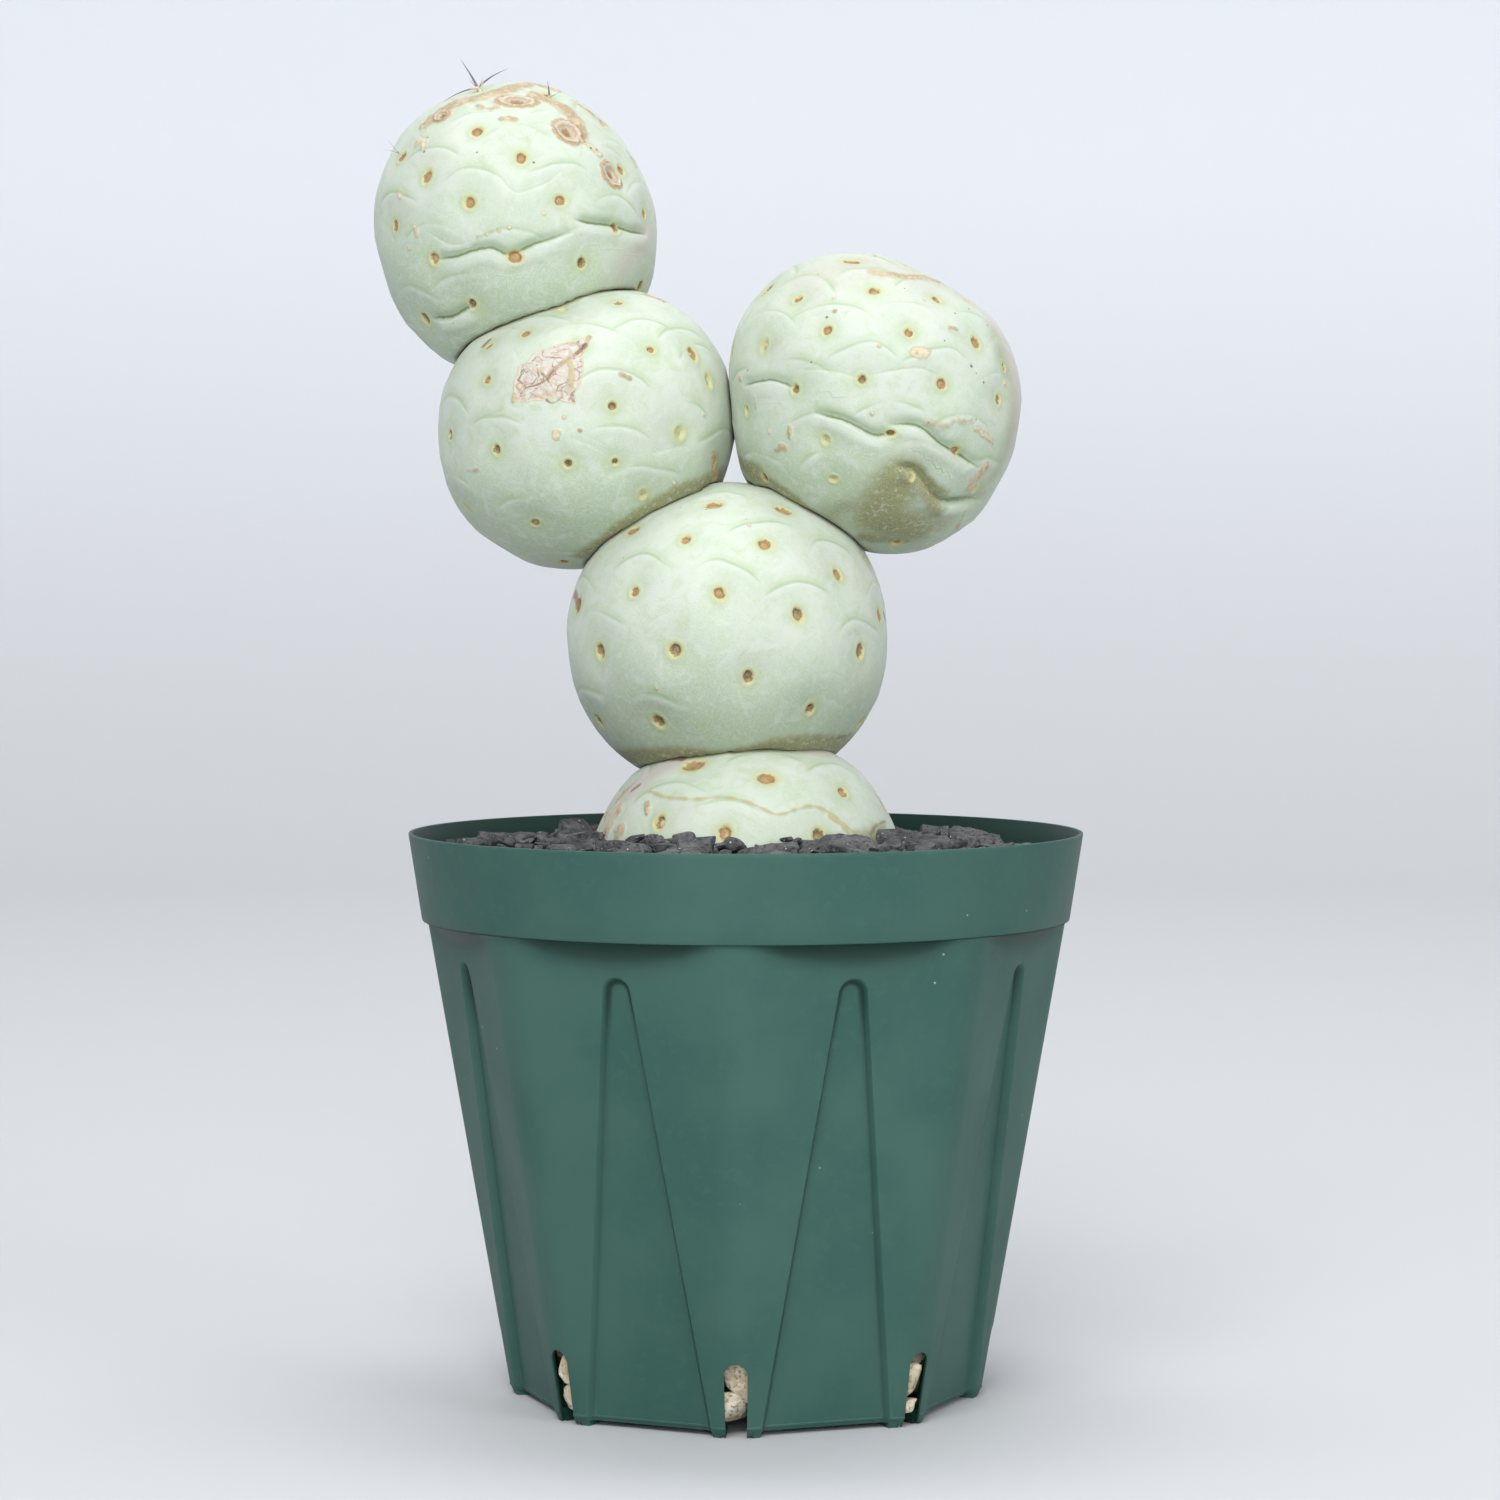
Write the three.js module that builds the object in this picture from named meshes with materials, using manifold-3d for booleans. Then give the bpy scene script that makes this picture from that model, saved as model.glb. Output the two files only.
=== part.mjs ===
// A potted Tephrocactus geometricus: five ball-shaped stem segments stacked on each other, growing
// out of dark lava grit in a dark green slit nursery pot.
// Units are millimetres. +Z is up, the front of the pot faces -Y, and the origin is the middle of
// the pot on the surface that its feet stand on.

import * as THREE from 'three';
import { ConvexHull } from 'three/addons/math/ConvexHull.js';
import { ConvexGeometry } from 'three/addons/geometries/ConvexGeometry.js';
import { mergeVertices } from 'three/addons/utils/BufferGeometryUtils.js';
import Module from 'manifold-3d';

const wasm = await Module();
wasm.setup();

const TURN = 2 * Math.PI;
const UP = new THREE.Vector3(0, 0, 1);
// Gap kept between pieces that touch, and how far a cutting block reaches past what it cuts.
const CLEARANCE = 0.3;
const OVERSHOOT = 10;
// Points closer than this are one point, and faces flatter than this are joined.
const SAME_POINT = 1e-4;
const SAME_FACE = 0.01;

// Driving dimensions of the pot, a slit pot of the 15 cm size.
const SECTORS = 8;
const SECTOR = TURN / SECTORS;
const POT_HEIGHT = 126;
const RIM_RADIUS = 75;
const RIM_EDGE = 1.0;
const WALL = 1.4;
const BAND_BOTTOM = 106.7;
const BAND_RADIUS = 72;
const BODY_FOOT_RADIUS = 52.6;
const BODY_FLARE = 0.174;
const CORNER_SHARE = 0.2;
const FLARE_SHARE = 0.95;
const EDGE_CHAMFER = 0.6;
const MOULD_LINE = 2.0;
const FOOT_HEIGHT = 1.2;
const FLOOR_TOP = 2.8;
const FEET_INNER_RADIUS = 42;
// Steps within one sector, in degrees from its corner: close together at the rounded corner.
const POT_STEPS = [-17, -11.5, -7, -3.3, 0, 3.3, 7, 11.5, 17, 22.5];
const FILL_STEPS = [-11.5, -3.3, 3.3, 11.5, 22.5];
const FLARE_STEPS = 3;

// The triangular recess pressed into each flat side.
const RECESS_TOP = 98.5;
const RECESS_TIP_RADIUS = 2.9;
const RECESS_FOOT_HALF = 14.6;
const RECESS_DEPTH = 1.7;
const RECESS_FACETS = 6;

// The slit at each corner, from the wall into the base.
const SLIT_WIDTH = 5.1;
const SLIT_FOOT_WIDTH = 4.4;
const SLIT_TOP = 16.4;
const SLIT_INNER_RADIUS = 36;
const SLIT_FACETS = 5;

// What fills the pot: pumice at the bottom, then the potting mix, then the grit.
const PUMICE_TOP = 24;
const MIX_TOP = 106;
const MOUND_TOP = 125.4;
const MOUND_EDGE = 117.5;
const MOUND_SHOULDER = 30;
const MOUND_RADIUS = 73.6;
const MOUND_TILT = 0.06;
const MOUND_TILT_LOST_AT_EDGE = 0.6;

// How uneven a lump is: each corner's turn, and its distance as a share of the half size.
const LUMP_TWIST = 0.9;
const LUMP_REACH = { min: 0.8, spread: 0.3 };

// Pebbles stand in tiers round a core of pumice. Chips lie on the bed of grit, sunk a little.
const PEBBLE_TIERS = [{ z: 8.6, radius: 44, count: 16 }, { z: 18, radius: 46, count: 16 }];
const PEBBLE_SIZE = [7.6, 7.8, 6.2];
const PEBBLE_CORNERS = 7;
const PUMICE_CORE = { top: 44, bottom: 40, margin: 3 };
const CHIP_COUNT = 90;
const CHIP_CORNERS = 8;
const CHIP_INNER_RADIUS = 29;
const CHIP_OUTER_RADIUS = 70.6;
const CHIP_HALF_LENGTH = { min: 4.6, spread: 3.2 };
const CHIP_HALF_HEIGHT = { min: 1.9, spread: 1.1 };
const CHIP_WIDTH_SHARE = 0.72;
const CHIP_TILT = 0.35;
const CHIP_SINK = 1.2;
const BED_DEPTH = 2.4;
const BED_RINGS = [78, 62, 48, 30];
const BED_SIDES = 24;

// The main root: radius and height of its stations, from the tip up to the base segment.
const ROOT_STATIONS = [[2, 47], [4.5, 62], [7, 80], [9.5, 91], [10.5, 93.5]];
const ROOT_TIP = 46;

// The plant is turned a little on the pot's own axis. Its places are given as seen by a viewer
// whose eye is here, with +X to the viewer's right.
const PLANT_TURN = THREE.MathUtils.degToRad(2.17);
const EYE = new THREE.Vector3(1, -984, 188.5);

// Relief of the skin: a pit at each areole in a shallow dimple, a raised net between them, folds.
const PIT_DEPTH = 1.5;
const PIT_RADIUS = 1.7;
const DIMPLE_DEPTH = 0.7;
const DIMPLE_RADIUS = 4.5;
const NET_HEIGHT = 0.5;
const NET_WIDTH = 1.5;
const FOLD_WIDTH = 1.3;
const LIP_SHARE = 0.35;
const LIP_OFFSET = 3;
const LIP_WIDTH = 2;
const FOLD_END_SHARE = 0.35;
const FOLD_FADE = 6;

// Spacing of the areoles, and how those that the viewer can't see are evened out: none starts nearer
// to a seen one than a share of the spacing, and each is pushed away from those within reach.
const AREOLE_SPACING = 16.3;
const HEX_CELL_SHARE = 0.866;
const CLEAR_SHARE = 0.72;
const SEEN_FROM = 0.5;
const PUSH_ROUNDS = 12;
const PUSH_REACH = 1.1 * AREOLE_SPACING;
const PUSH = 0.12;

// Spacing of the skin's mesh points round pits, along folds, on the net and in between.
const PIT_RING_RADIUS = 2.1;
const PIT_RING_POINTS = 6;
const FOLD_STEP = 2.6;
const FOLD_SIDE = 2.7;
const ROOM_AT_FOLD = 1.5;
const ROOM_AT_PIT = 1.2;
const ROOM_AT_CORNER = 2.2;
const ROOM_AT_EDGE = 2.6;
const ROOM_BETWEEN = 5.2;
const FILL_POINTS = 700;
const GOLDEN_ANGLE = Math.PI * (3 - Math.sqrt(5));

// Each segment: its middle, its outline radii every 30 degrees clockwise from the top as seen by
// the viewer, and the areoles and folds that the viewer sees, as offsets right and up of the middle.
const SEGMENTS = [
  {
    name: 'stem_1_base',
    centre: [0.3, -8, 119.5],
    outline: [27.8, 29.8, 32.6, 33.8, 30.7, 26.5, 23.8, 26.5, 31, 34.6, 32.6, 29.2],
    areoles: [[4, 18], [20.5, 15.5], [-11.5, 21], [-19, 9], [-4.5, 6.5], [15, 5.5], [30, 12],
      [-30, 9], [-25.5, 15.5]],
    folds: [],
    bareBelow: -9,
    rests: [],
  },
  {
    name: 'stem_2_middle',
    centre: [-4.2, 1, 172.5],
    outline: [31.2, 32.4, 34.4, 35.6, 37.6, 38, 35, 38, 37.2, 35.6, 33.4, 30.4],
    areoles: [[-20.5, 6.5], [-1.5, 6.5], [15.5, 1.5], [-9.5, 18], [8.5, 17.5], [24.5, 10.5], [-3, 28],
      [12.5, 25.5], [-21.5, 21], [-33, 4], [-28, -6.5], [-11.5, -6], [5, -12], [18.5, -19],
      [29.5, -6.5], [34.5, 1.5], [-28.5, -21.5], [-15, -21.5], [33, -17.5]],
    folds: [],
    rests: [0],
  },
  {
    name: 'stem_3_left',
    centre: [-35.4, 11, 215.8],
    outline: [31.3, 33.3, 33.9, 33, 32.5, 30.7, 31.5, 33.3, 34.2, 33.5, 33.1, 29.6],
    areoles: [[-14, 21], [-1.5, 17.5], [14, 17.5], [23, 17], [6.5, 28], [-6, 27.5], [-22, 18.5],
      [-22.5, 11], [5.5, 5], [20, -1], [5.5, -7], [-4.5, -7.5], [-20.5, -4.5], [-30, -1.5],
      [-11, -21], [-26, -17], [12, -14.5], [28, -7.5], [27, 11]],
    folds: [],
    rests: [1],
  },
  {
    name: 'stem_4_right',
    centre: [28.6, 6, 221],
    outline: [33.4, 30.9, 32.8, 32.9, 32.9, 34.5, 33.2, 32.1, 33.2, 32.2, 35.1, 35.5],
    areoles: [[-10.5, 16.5], [7.5, 16], [22, 13.5], [-17, 23.5], [0, 25], [14, 23.5], [-5, 31.5],
      [-24.5, 13], [-18, 3.5], [-2.5, 5.5], [15, 4.5], [27.5, 0.5], [-29.5, -1.5], [-10.5, -7.5],
      [4, -6.5], [18.5, -10.5], [-9, -16.5], [7.5, -16.5], [22.5, -19], [29, 8.5]],
    folds: [
      { path: [[-22.5, 4.5], [-17, 3]], depth: 1.0 },
      { path: [[-13, -2], [-6, -4], [0, -7], [4, -6.5]], depth: 1.6 },
      { path: [[4, -4.5], [10, -5], [15, -9], [18.5, -11], [23, -14]], depth: 1.6 },
      { path: [[5.5, -14], [9, -15], [12, -18.5], [15, -21.5], [23.5, -21]], depth: 2.4 },
      { path: [[7.5, 32], [6.5, 27]], depth: 1.4 },
    ],
    rests: [1, 2],
  },
  {
    name: 'stem_5_top',
    centre: [-51.8, 22, 262.7],
    outline: [31.3, 30.5, 30, 31.6, 33.5, 33.1, 33.8, 35.4, 33.1, 32.2, 32.4, 31.8],
    areoles: [[-8.5, 20], [1, 14.5], [-20, 10.5], [-10.5, 4.5], [9.5, 5], [-26, 14.5], [-27.5, -1],
      [-18, -8], [-0.5, -7.5], [14, -9], [22.5, -1], [30, 2], [26, 13.5], [-10, -18.5],
      [-20.5, -21], [11.5, 21], [21.5, 11.5], [0.5, 27.5], [-17, 24], [-9, 30.5], [7.5, 30]],
    folds: [
      { path: [[-18, -8.5], [-9.5, -6.5], [-1.5, -7.5], [4, -5], [11.5, -2.5]], depth: 1.5 },
      { path: [[13.5, 0.5], [22, -0.5], [29.5, -2.5]], depth: 1.7 },
      { path: [[-18, -21], [-10, -18.5]], depth: 1.4 },
    ],
    rests: [2],
  },
];

// Spines left on the top segment: where each grows, where its tip ends, and how thick it is.
const SPINES = [
  { root: [-9, 30.5], tip: [-12.8, 37], thickness: 0.8 },
  { root: [-8, 31.2], tip: [-2, 35], thickness: 0.7 },
  { root: [-10.5, 30], tip: [-16.5, 27.5], thickness: 0.6 },
  { root: [7.5, 30], tip: [7.2, 32.8], thickness: 0.7 },
];
const SPINE_ROOT_DEPTH = 2.7;
const SPINE_SIDES = 5;

const COLOURS = {
  pot: 0x2f5d50,
  grit: 0x3b3c40,
  pumice: 0xd8cbb4,
  mix: 0x4a3d33,
  root: 0x8a6a4a,
  skin: 0xc4dcc0,
};

// Turns a three.js geometry into a solid that can be cut and joined.
function solidOf(geometry) {
  const bare = geometry.clone();
  bare.deleteAttribute('normal');
  bare.deleteAttribute('uv');
  const merged = mergeVertices(bare, SAME_POINT);
  return new wasm.Manifold(new wasm.Mesh({
    numProp: 3,
    vertProperties: new Float32Array(merged.attributes.position.array),
    triVerts: new Uint32Array(merged.index.array),
  }));
}

// Turns a solid back into a three.js geometry, keeping only its largest body.
function geometryOf(solid) {
  const bodies = solid.decompose();
  const main = bodies.reduce((best, body) => (body.volume() > best.volume() ? body : best));
  const mesh = main.simplify(SAME_FACE).getMesh();
  const geometry = new THREE.BufferGeometry();
  geometry.setAttribute('position', new THREE.BufferAttribute(mesh.vertProperties, 3));
  geometry.setIndex(new THREE.BufferAttribute(mesh.triVerts, 1));
  return geometry;
}

// A repeatable stream of random numbers from 0 to 1.
function randomStream(seed) {
  let state = seed;
  return () => {
    state = (state + 0x6d2b79f5) | 0;
    let t = Math.imul(state ^ (state >>> 15), 1 | state);
    t = (t + Math.imul(t ^ (t >>> 7), 61 | t)) ^ t;
    return ((t ^ (t >>> 14)) >>> 0) / 4294967296;
  };
}

// A closed surface through a stack of rings, each a list of points in the same order.
function loft(rings) {
  const count = rings[0].length;
  const points = rings.flat();
  const bottom = points.push(middleOf(rings[0])) - 1;
  const top = points.push(middleOf(rings[rings.length - 1])) - 1;
  const index = [];
  for (let i = 0; i < count; i += 1) {
    const next = (i + 1) % count;
    index.push(bottom, next, i);
    for (let level = 0; level < rings.length - 1; level += 1) {
      const a = level * count + i;
      const b = level * count + next;
      index.push(a, b, b + count, a, b + count, a + count);
    }
    const last = (rings.length - 1) * count;
    index.push(top, last + i, last + next);
  }
  const geometry = new THREE.BufferGeometry().setFromPoints(points);
  geometry.setIndex(index);
  return geometry;
}

function middleOf(ring) {
  const sum = ring.reduce((total, point) => total.add(point), new THREE.Vector3());
  return sum.divideScalar(ring.length);
}

// Corner radius of the pot's eight-sided body at a height.
function cornerRadius(z) {
  return BODY_FOOT_RADIUS + BODY_FLARE * z;
}

// Distance from the axis to an octagon with rounded corners, at an angle from a corner.
function octagonRadius(corner, angle) {
  const half = SECTOR / 2;
  const away = Math.abs(angle - SECTOR * Math.round(angle / SECTOR));
  const fillet = CORNER_SHARE * corner;
  const filletMiddle = corner - fillet;
  const tangent = Math.atan2(fillet * Math.sin(half), filletMiddle + fillet * Math.cos(half));
  if (away < tangent) {
    const across = filletMiddle * Math.sin(away);
    return filletMiddle * Math.cos(away) + Math.sqrt(fillet * fillet - across * across);
  }
  return (filletMiddle * Math.cos(half) + fillet) / Math.cos(half - away);
}

// A ring of points round the pot, with its radius and height worked out for each angle.
function potRing(steps, radiusAt, heightAt) {
  const points = [];
  for (let sector = 0; sector < SECTORS; sector += 1) {
    steps.forEach((step) => {
      const angle = sector * SECTOR + THREE.MathUtils.degToRad(step);
      const z = heightAt(angle);
      const radius = radiusAt(angle, z);
      points.push(new THREE.Vector3(radius * Math.cos(angle), radius * Math.sin(angle), z));
    });
  }
  return points;
}

// A ring of the eight-sided body, moved in by an inset.
function bodyRing(steps, height, inset) {
  const radiusAt = (angle, z) => octagonRadius(cornerRadius(z), angle) - inset;
  return potRing(steps, radiusAt, () => height);
}

// A ring of the round band under the rim, moved in by an inset.
function bandRing(steps, height, inset) {
  const share = (height - BAND_BOTTOM) / (POT_HEIGHT - BAND_BOTTOM);
  const radius = BAND_RADIUS + share * (RIM_RADIUS - BAND_RADIUS) - inset;
  return potRing(steps, () => radius, () => height);
}

// Rings of the fillet that flares out from the flat sides to the band, low where they are widest
// apart. A lift raises it for the inside of the wall.
function flareRings(inset, lift) {
  const rings = [];
  for (let i = 0; i <= FLARE_STEPS; i += 1) {
    const t = Math.sin((i / FLARE_STEPS) * Math.PI / 2);
    const share = 1 - Math.sqrt(1 - t * t);
    rings.push(potRing(
      POT_STEPS,
      (angle, z) => {
        const octagon = octagonRadius(cornerRadius(z), angle);
        return octagon + (BAND_RADIUS - octagon) * share - inset;
      },
      (angle) => {
        const gap = BAND_RADIUS - octagonRadius(cornerRadius(BAND_BOTTOM), angle);
        return BAND_BOTTOM + lift - gap * FLARE_SHARE * (1 - t);
      },
    ));
  }
  return rings;
}

// The pot as a solid block, without its inside.
function potBlock() {
  return solidOf(loft([
    bodyRing(POT_STEPS, 0, EDGE_CHAMFER),
    bodyRing(POT_STEPS, MOULD_LINE, 0),
    ...flareRings(0, 0),
    bandRing(POT_STEPS, POT_HEIGHT - EDGE_CHAMFER / 2, 0),
    bandRing(POT_STEPS, POT_HEIGHT, EDGE_CHAMFER / 2),
  ]));
}

// The pot's inside, up to and past its rim.
function cavityBlock() {
  const block = solidOf(loft([
    bodyRing(POT_STEPS, FLOOR_TOP, WALL),
    ...flareRings(WALL, WALL),
    bandRing(POT_STEPS, POT_HEIGHT, RIM_EDGE),
    bandRing(POT_STEPS, POT_HEIGHT + OVERSHOOT, RIM_EDGE),
  ]));
  return block.subtract(recesses(WALL, WALL + RECESS_DEPTH, RECESS_FACETS));
}

// The room for what fills the pot between two heights, clear of the wall.
function fillBlock(bottom, top) {
  const inset = WALL + CLEARANCE;
  const shoulder = BAND_BOTTOM + inset;
  const rings = [bodyRing(FILL_STEPS, bottom, inset)];
  if (top > shoulder) {
    rings.push(bodyRing(FILL_STEPS, shoulder, inset));
    rings.push(bandRing(FILL_STEPS, shoulder + CLEARANCE, inset));
    rings.push(bandRing(FILL_STEPS, top, inset));
  } else {
    rings.push(bodyRing(FILL_STEPS, top, inset));
  }
  const coarse = inset + 2 * CLEARANCE;
  return solidOf(loft(rings)).subtract(recesses(coarse, coarse + RECESS_DEPTH, 2));
}

// The middle of a flat side is nearer the axis than a corner by this share. From it come the side's
// distance from the axis at the foot and the angle that it leans out by.
const SIDE_SHARE = (1 - CORNER_SHARE) * Math.cos(SECTOR / 2) + CORNER_SHARE;
const SIDE_FOOT = BODY_FOOT_RADIUS * SIDE_SHARE;
const SIDE_LEAN = Math.atan(BODY_FLARE * SIDE_SHARE);

// Eight triangular blocks standing in the sides, grown outwards by a border, reaching in by a depth,
// with a round tip of a number of facets.
function recesses(border, depth, facets) {
  const tip = RECESS_TIP_RADIUS + border;
  const foot = RECESS_FOOT_HALF + border;
  const tipMiddle = RECESS_TOP - RECESS_TIP_RADIUS;
  const tangent = Math.acos(tip / Math.hypot(foot, tipMiddle)) - Math.atan2(tipMiddle, foot);
  const outline = new THREE.Shape();
  outline.moveTo(-foot, -OVERSHOOT);
  outline.lineTo(foot, -OVERSHOOT);
  outline.lineTo(foot, 0);
  outline.absarc(0, tipMiddle, tip, tangent, Math.PI - tangent, false);
  outline.lineTo(-foot, 0);
  const block = new THREE.ExtrudeGeometry(outline, {
    depth: depth + OVERSHOOT,
    bevelEnabled: false,
    curveSegments: facets,
  });
  block.translate(0, 0, -OVERSHOOT);
  const parts = [];
  for (let side = 0; side < SECTORS; side += 1) {
    const angle = (side + 0.5) * SECTOR;
    const outward = new THREE.Vector3(Math.cos(angle), Math.sin(angle), 0);
    const along = outward.clone().multiplyScalar(Math.sin(SIDE_LEAN));
    along.addScaledVector(UP, Math.cos(SIDE_LEAN));
    const inward = outward.clone().multiplyScalar(-Math.cos(SIDE_LEAN));
    inward.addScaledVector(UP, Math.sin(SIDE_LEAN));
    const across = new THREE.Vector3().crossVectors(along, inward);
    const place = new THREE.Matrix4().makeBasis(across, along, inward);
    place.setPosition(outward.multiplyScalar(SIDE_FOOT));
    parts.push(solidOf(block.clone().applyMatrix4(place)));
  }
  return wasm.Manifold.union(parts);
}

// The eight slits, each with a round top.
function slits() {
  const half = SLIT_WIDTH / 2;
  const outline = new THREE.Shape();
  outline.moveTo(-SLIT_FOOT_WIDTH / 2, -FLOOR_TOP);
  outline.lineTo(SLIT_FOOT_WIDTH / 2, -FLOOR_TOP);
  outline.absarc(0, SLIT_TOP - half, half, 0, Math.PI, false);
  const block = new THREE.ExtrudeGeometry(outline, {
    depth: cornerRadius(SLIT_TOP) - SLIT_INNER_RADIUS + OVERSHOOT,
    bevelEnabled: false,
    curveSegments: SLIT_FACETS,
  });
  const parts = [];
  for (let corner = 0; corner < SECTORS; corner += 1) {
    const angle = corner * SECTOR;
    const outward = new THREE.Vector3(Math.cos(angle), Math.sin(angle), 0);
    const across = new THREE.Vector3().crossVectors(UP, outward);
    const place = new THREE.Matrix4().makeBasis(across, UP, outward);
    place.setPosition(outward.clone().multiplyScalar(SLIT_INNER_RADIUS));
    parts.push(solidOf(block.clone().applyMatrix4(place)));
  }
  return wasm.Manifold.union(parts);
}

// What is taken away under the base, so that only a foot at each side of each slit touches down.
function underside() {
  const disc = new THREE.CylinderGeometry(FEET_INNER_RADIUS, FEET_INNER_RADIUS, FOOT_HEIGHT * 2, 48);
  disc.rotateX(Math.PI / 2);
  const parts = [solidOf(disc)];
  for (let side = 0; side < SECTORS; side += 1) {
    const bar = new THREE.BoxGeometry(SIDE_FOOT, 2 * RECESS_FOOT_HALF, FOOT_HEIGHT * 2);
    bar.translate(SIDE_FOOT, 0, 0);
    bar.rotateZ((side + 0.5) * SECTOR);
    parts.push(solidOf(bar));
  }
  return wasm.Manifold.union(parts);
}

function potGeometry() {
  const shell = potBlock().subtract(recesses(0, RECESS_DEPTH, RECESS_FACETS)).subtract(cavityBlock());
  return geometryOf(shell.subtract(slits()).subtract(underside()));
}

// A rough lump: the hull of points scattered on a flattened ball.
function lump(random, size, points) {
  const corners = [];
  for (let i = 0; i < points; i += 1) {
    const z = 1 - (2 * i + 1) / points;
    const angle = i * GOLDEN_ANGLE + LUMP_TWIST * random();
    const ring = Math.sqrt(1 - z * z);
    const reach = LUMP_REACH.min + LUMP_REACH.spread * random();
    corners.push(new THREE.Vector3(
      ring * Math.cos(angle) * reach * size[0],
      ring * Math.sin(angle) * reach * size[1],
      z * reach * size[2],
    ));
  }
  return new ConvexGeometry(corners);
}

// Pumice: a core with tiers of pebbles round it, which show in the slits.
function pumiceGeometry() {
  const random = randomStream(11);
  const height = PUMICE_TOP - FLOOR_TOP - 2 * PUMICE_CORE.margin;
  const core = new THREE.CylinderGeometry(PUMICE_CORE.top, PUMICE_CORE.bottom, height, 24);
  core.rotateX(Math.PI / 2);
  core.translate(0, 0, (PUMICE_TOP + FLOOR_TOP) / 2);
  const pieces = [solidOf(core)];
  PEBBLE_TIERS.forEach((tier, level) => {
    for (let i = 0; i < tier.count; i += 1) {
      const pebble = lump(random, PEBBLE_SIZE, PEBBLE_CORNERS);
      pebble.rotateZ(random() * TURN);
      const angle = ((i + level / 2) / tier.count) * TURN;
      const radius = tier.radius + random() - 0.5;
      pebble.translate(radius * Math.cos(angle), radius * Math.sin(angle), tier.z);
      pieces.push(solidOf(pebble));
    }
  });
  const room = fillBlock(FLOOR_TOP + CLEARANCE, PUMICE_TOP);
  return geometryOf(wasm.Manifold.union(pieces).intersect(room));
}

// The main root, tapering down through the mix.
function rootGeometry() {
  const profile = ROOT_STATIONS.map(([radius, z]) => new THREE.Vector2(radius, z));
  profile.unshift(new THREE.Vector2(0, ROOT_TIP));
  profile.push(new THREE.Vector2(0, profile[profile.length - 1].y));
  return latheUnderPlant(profile);
}

// The hole for the root in the mix, open at the top.
function rootHole() {
  const profile = ROOT_STATIONS.map(([radius, z]) => new THREE.Vector2(radius + CLEARANCE, z));
  profile.unshift(new THREE.Vector2(0, ROOT_TIP - CLEARANCE));
  const mouth = profile[profile.length - 1];
  profile.push(new THREE.Vector2(mouth.x, MIX_TOP), new THREE.Vector2(0, MIX_TOP));
  return solidOf(latheUnderPlant(profile).rotateZ(PLANT_TURN));
}

function latheUnderPlant(profile) {
  const lathe = new THREE.LatheGeometry(profile, 10);
  lathe.rotateX(Math.PI / 2);
  lathe.translate(SEGMENTS[0].centre[0], SEGMENTS[0].centre[1], 0);
  return lathe;
}

// The view of one segment: right, up and towards the eye.
function viewAxes(segment) {
  const centre = new THREE.Vector3(...segment.centre);
  const near = EYE.clone().sub(centre).normalize();
  const right = new THREE.Vector3().crossVectors(UP, near).normalize();
  const up = new THREE.Vector3().crossVectors(near, right);
  return { centre, near, right, up };
}

// Radius of the outline at an angle clockwise from the top, by a smooth curve through its points.
function outlineRadius(outline, angle) {
  const count = outline.length;
  const place = ((angle / TURN) % 1 + 1) % 1 * count;
  const i = Math.floor(place);
  const t = place - i;
  const [a, b, c, d] = [-1, 0, 1, 2].map((step) => outline[(i + step + count) % count]);
  return b + 0.5 * t * (c - a + t * (2 * a - 5 * b + 4 * c - d + t * (3 * (b - c) + d - a)));
}

// Radius of a segment in a direction, from its outline turned round its upright axis.
function bodyRadius(segment, axes, direction) {
  const u = direction.dot(axes.right);
  const v = direction.dot(axes.up);
  const w = direction.dot(axes.near);
  const polar = Math.acos(THREE.MathUtils.clamp(v, -1, 1));
  const rightSide = outlineRadius(segment.outline, polar);
  const leftSide = outlineRadius(segment.outline, -polar);
  const flat = Math.hypot(u, w);
  const side = flat > SAME_POINT ? u / flat : 0;
  return (rightSide + leftSide + (rightSide - leftSide) * side) / 2;
}

function meanRadius(segment) {
  return segment.outline.reduce((sum, radius) => sum + radius, 0) / segment.outline.length;
}

// Direction of a point that the viewer sees right and up of a segment's middle.
function seenDirection(segment, axes, [x, z]) {
  const radius = meanRadius(segment);
  const out = Math.min(Math.hypot(x, z) / radius, 0.995);
  const angle = Math.atan2(x, z);
  return new THREE.Vector3()
    .addScaledVector(axes.right, out * Math.sin(angle))
    .addScaledVector(axes.up, out * Math.cos(angle))
    .addScaledVector(axes.near, Math.sqrt(1 - out * out))
    .normalize();
}

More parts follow.
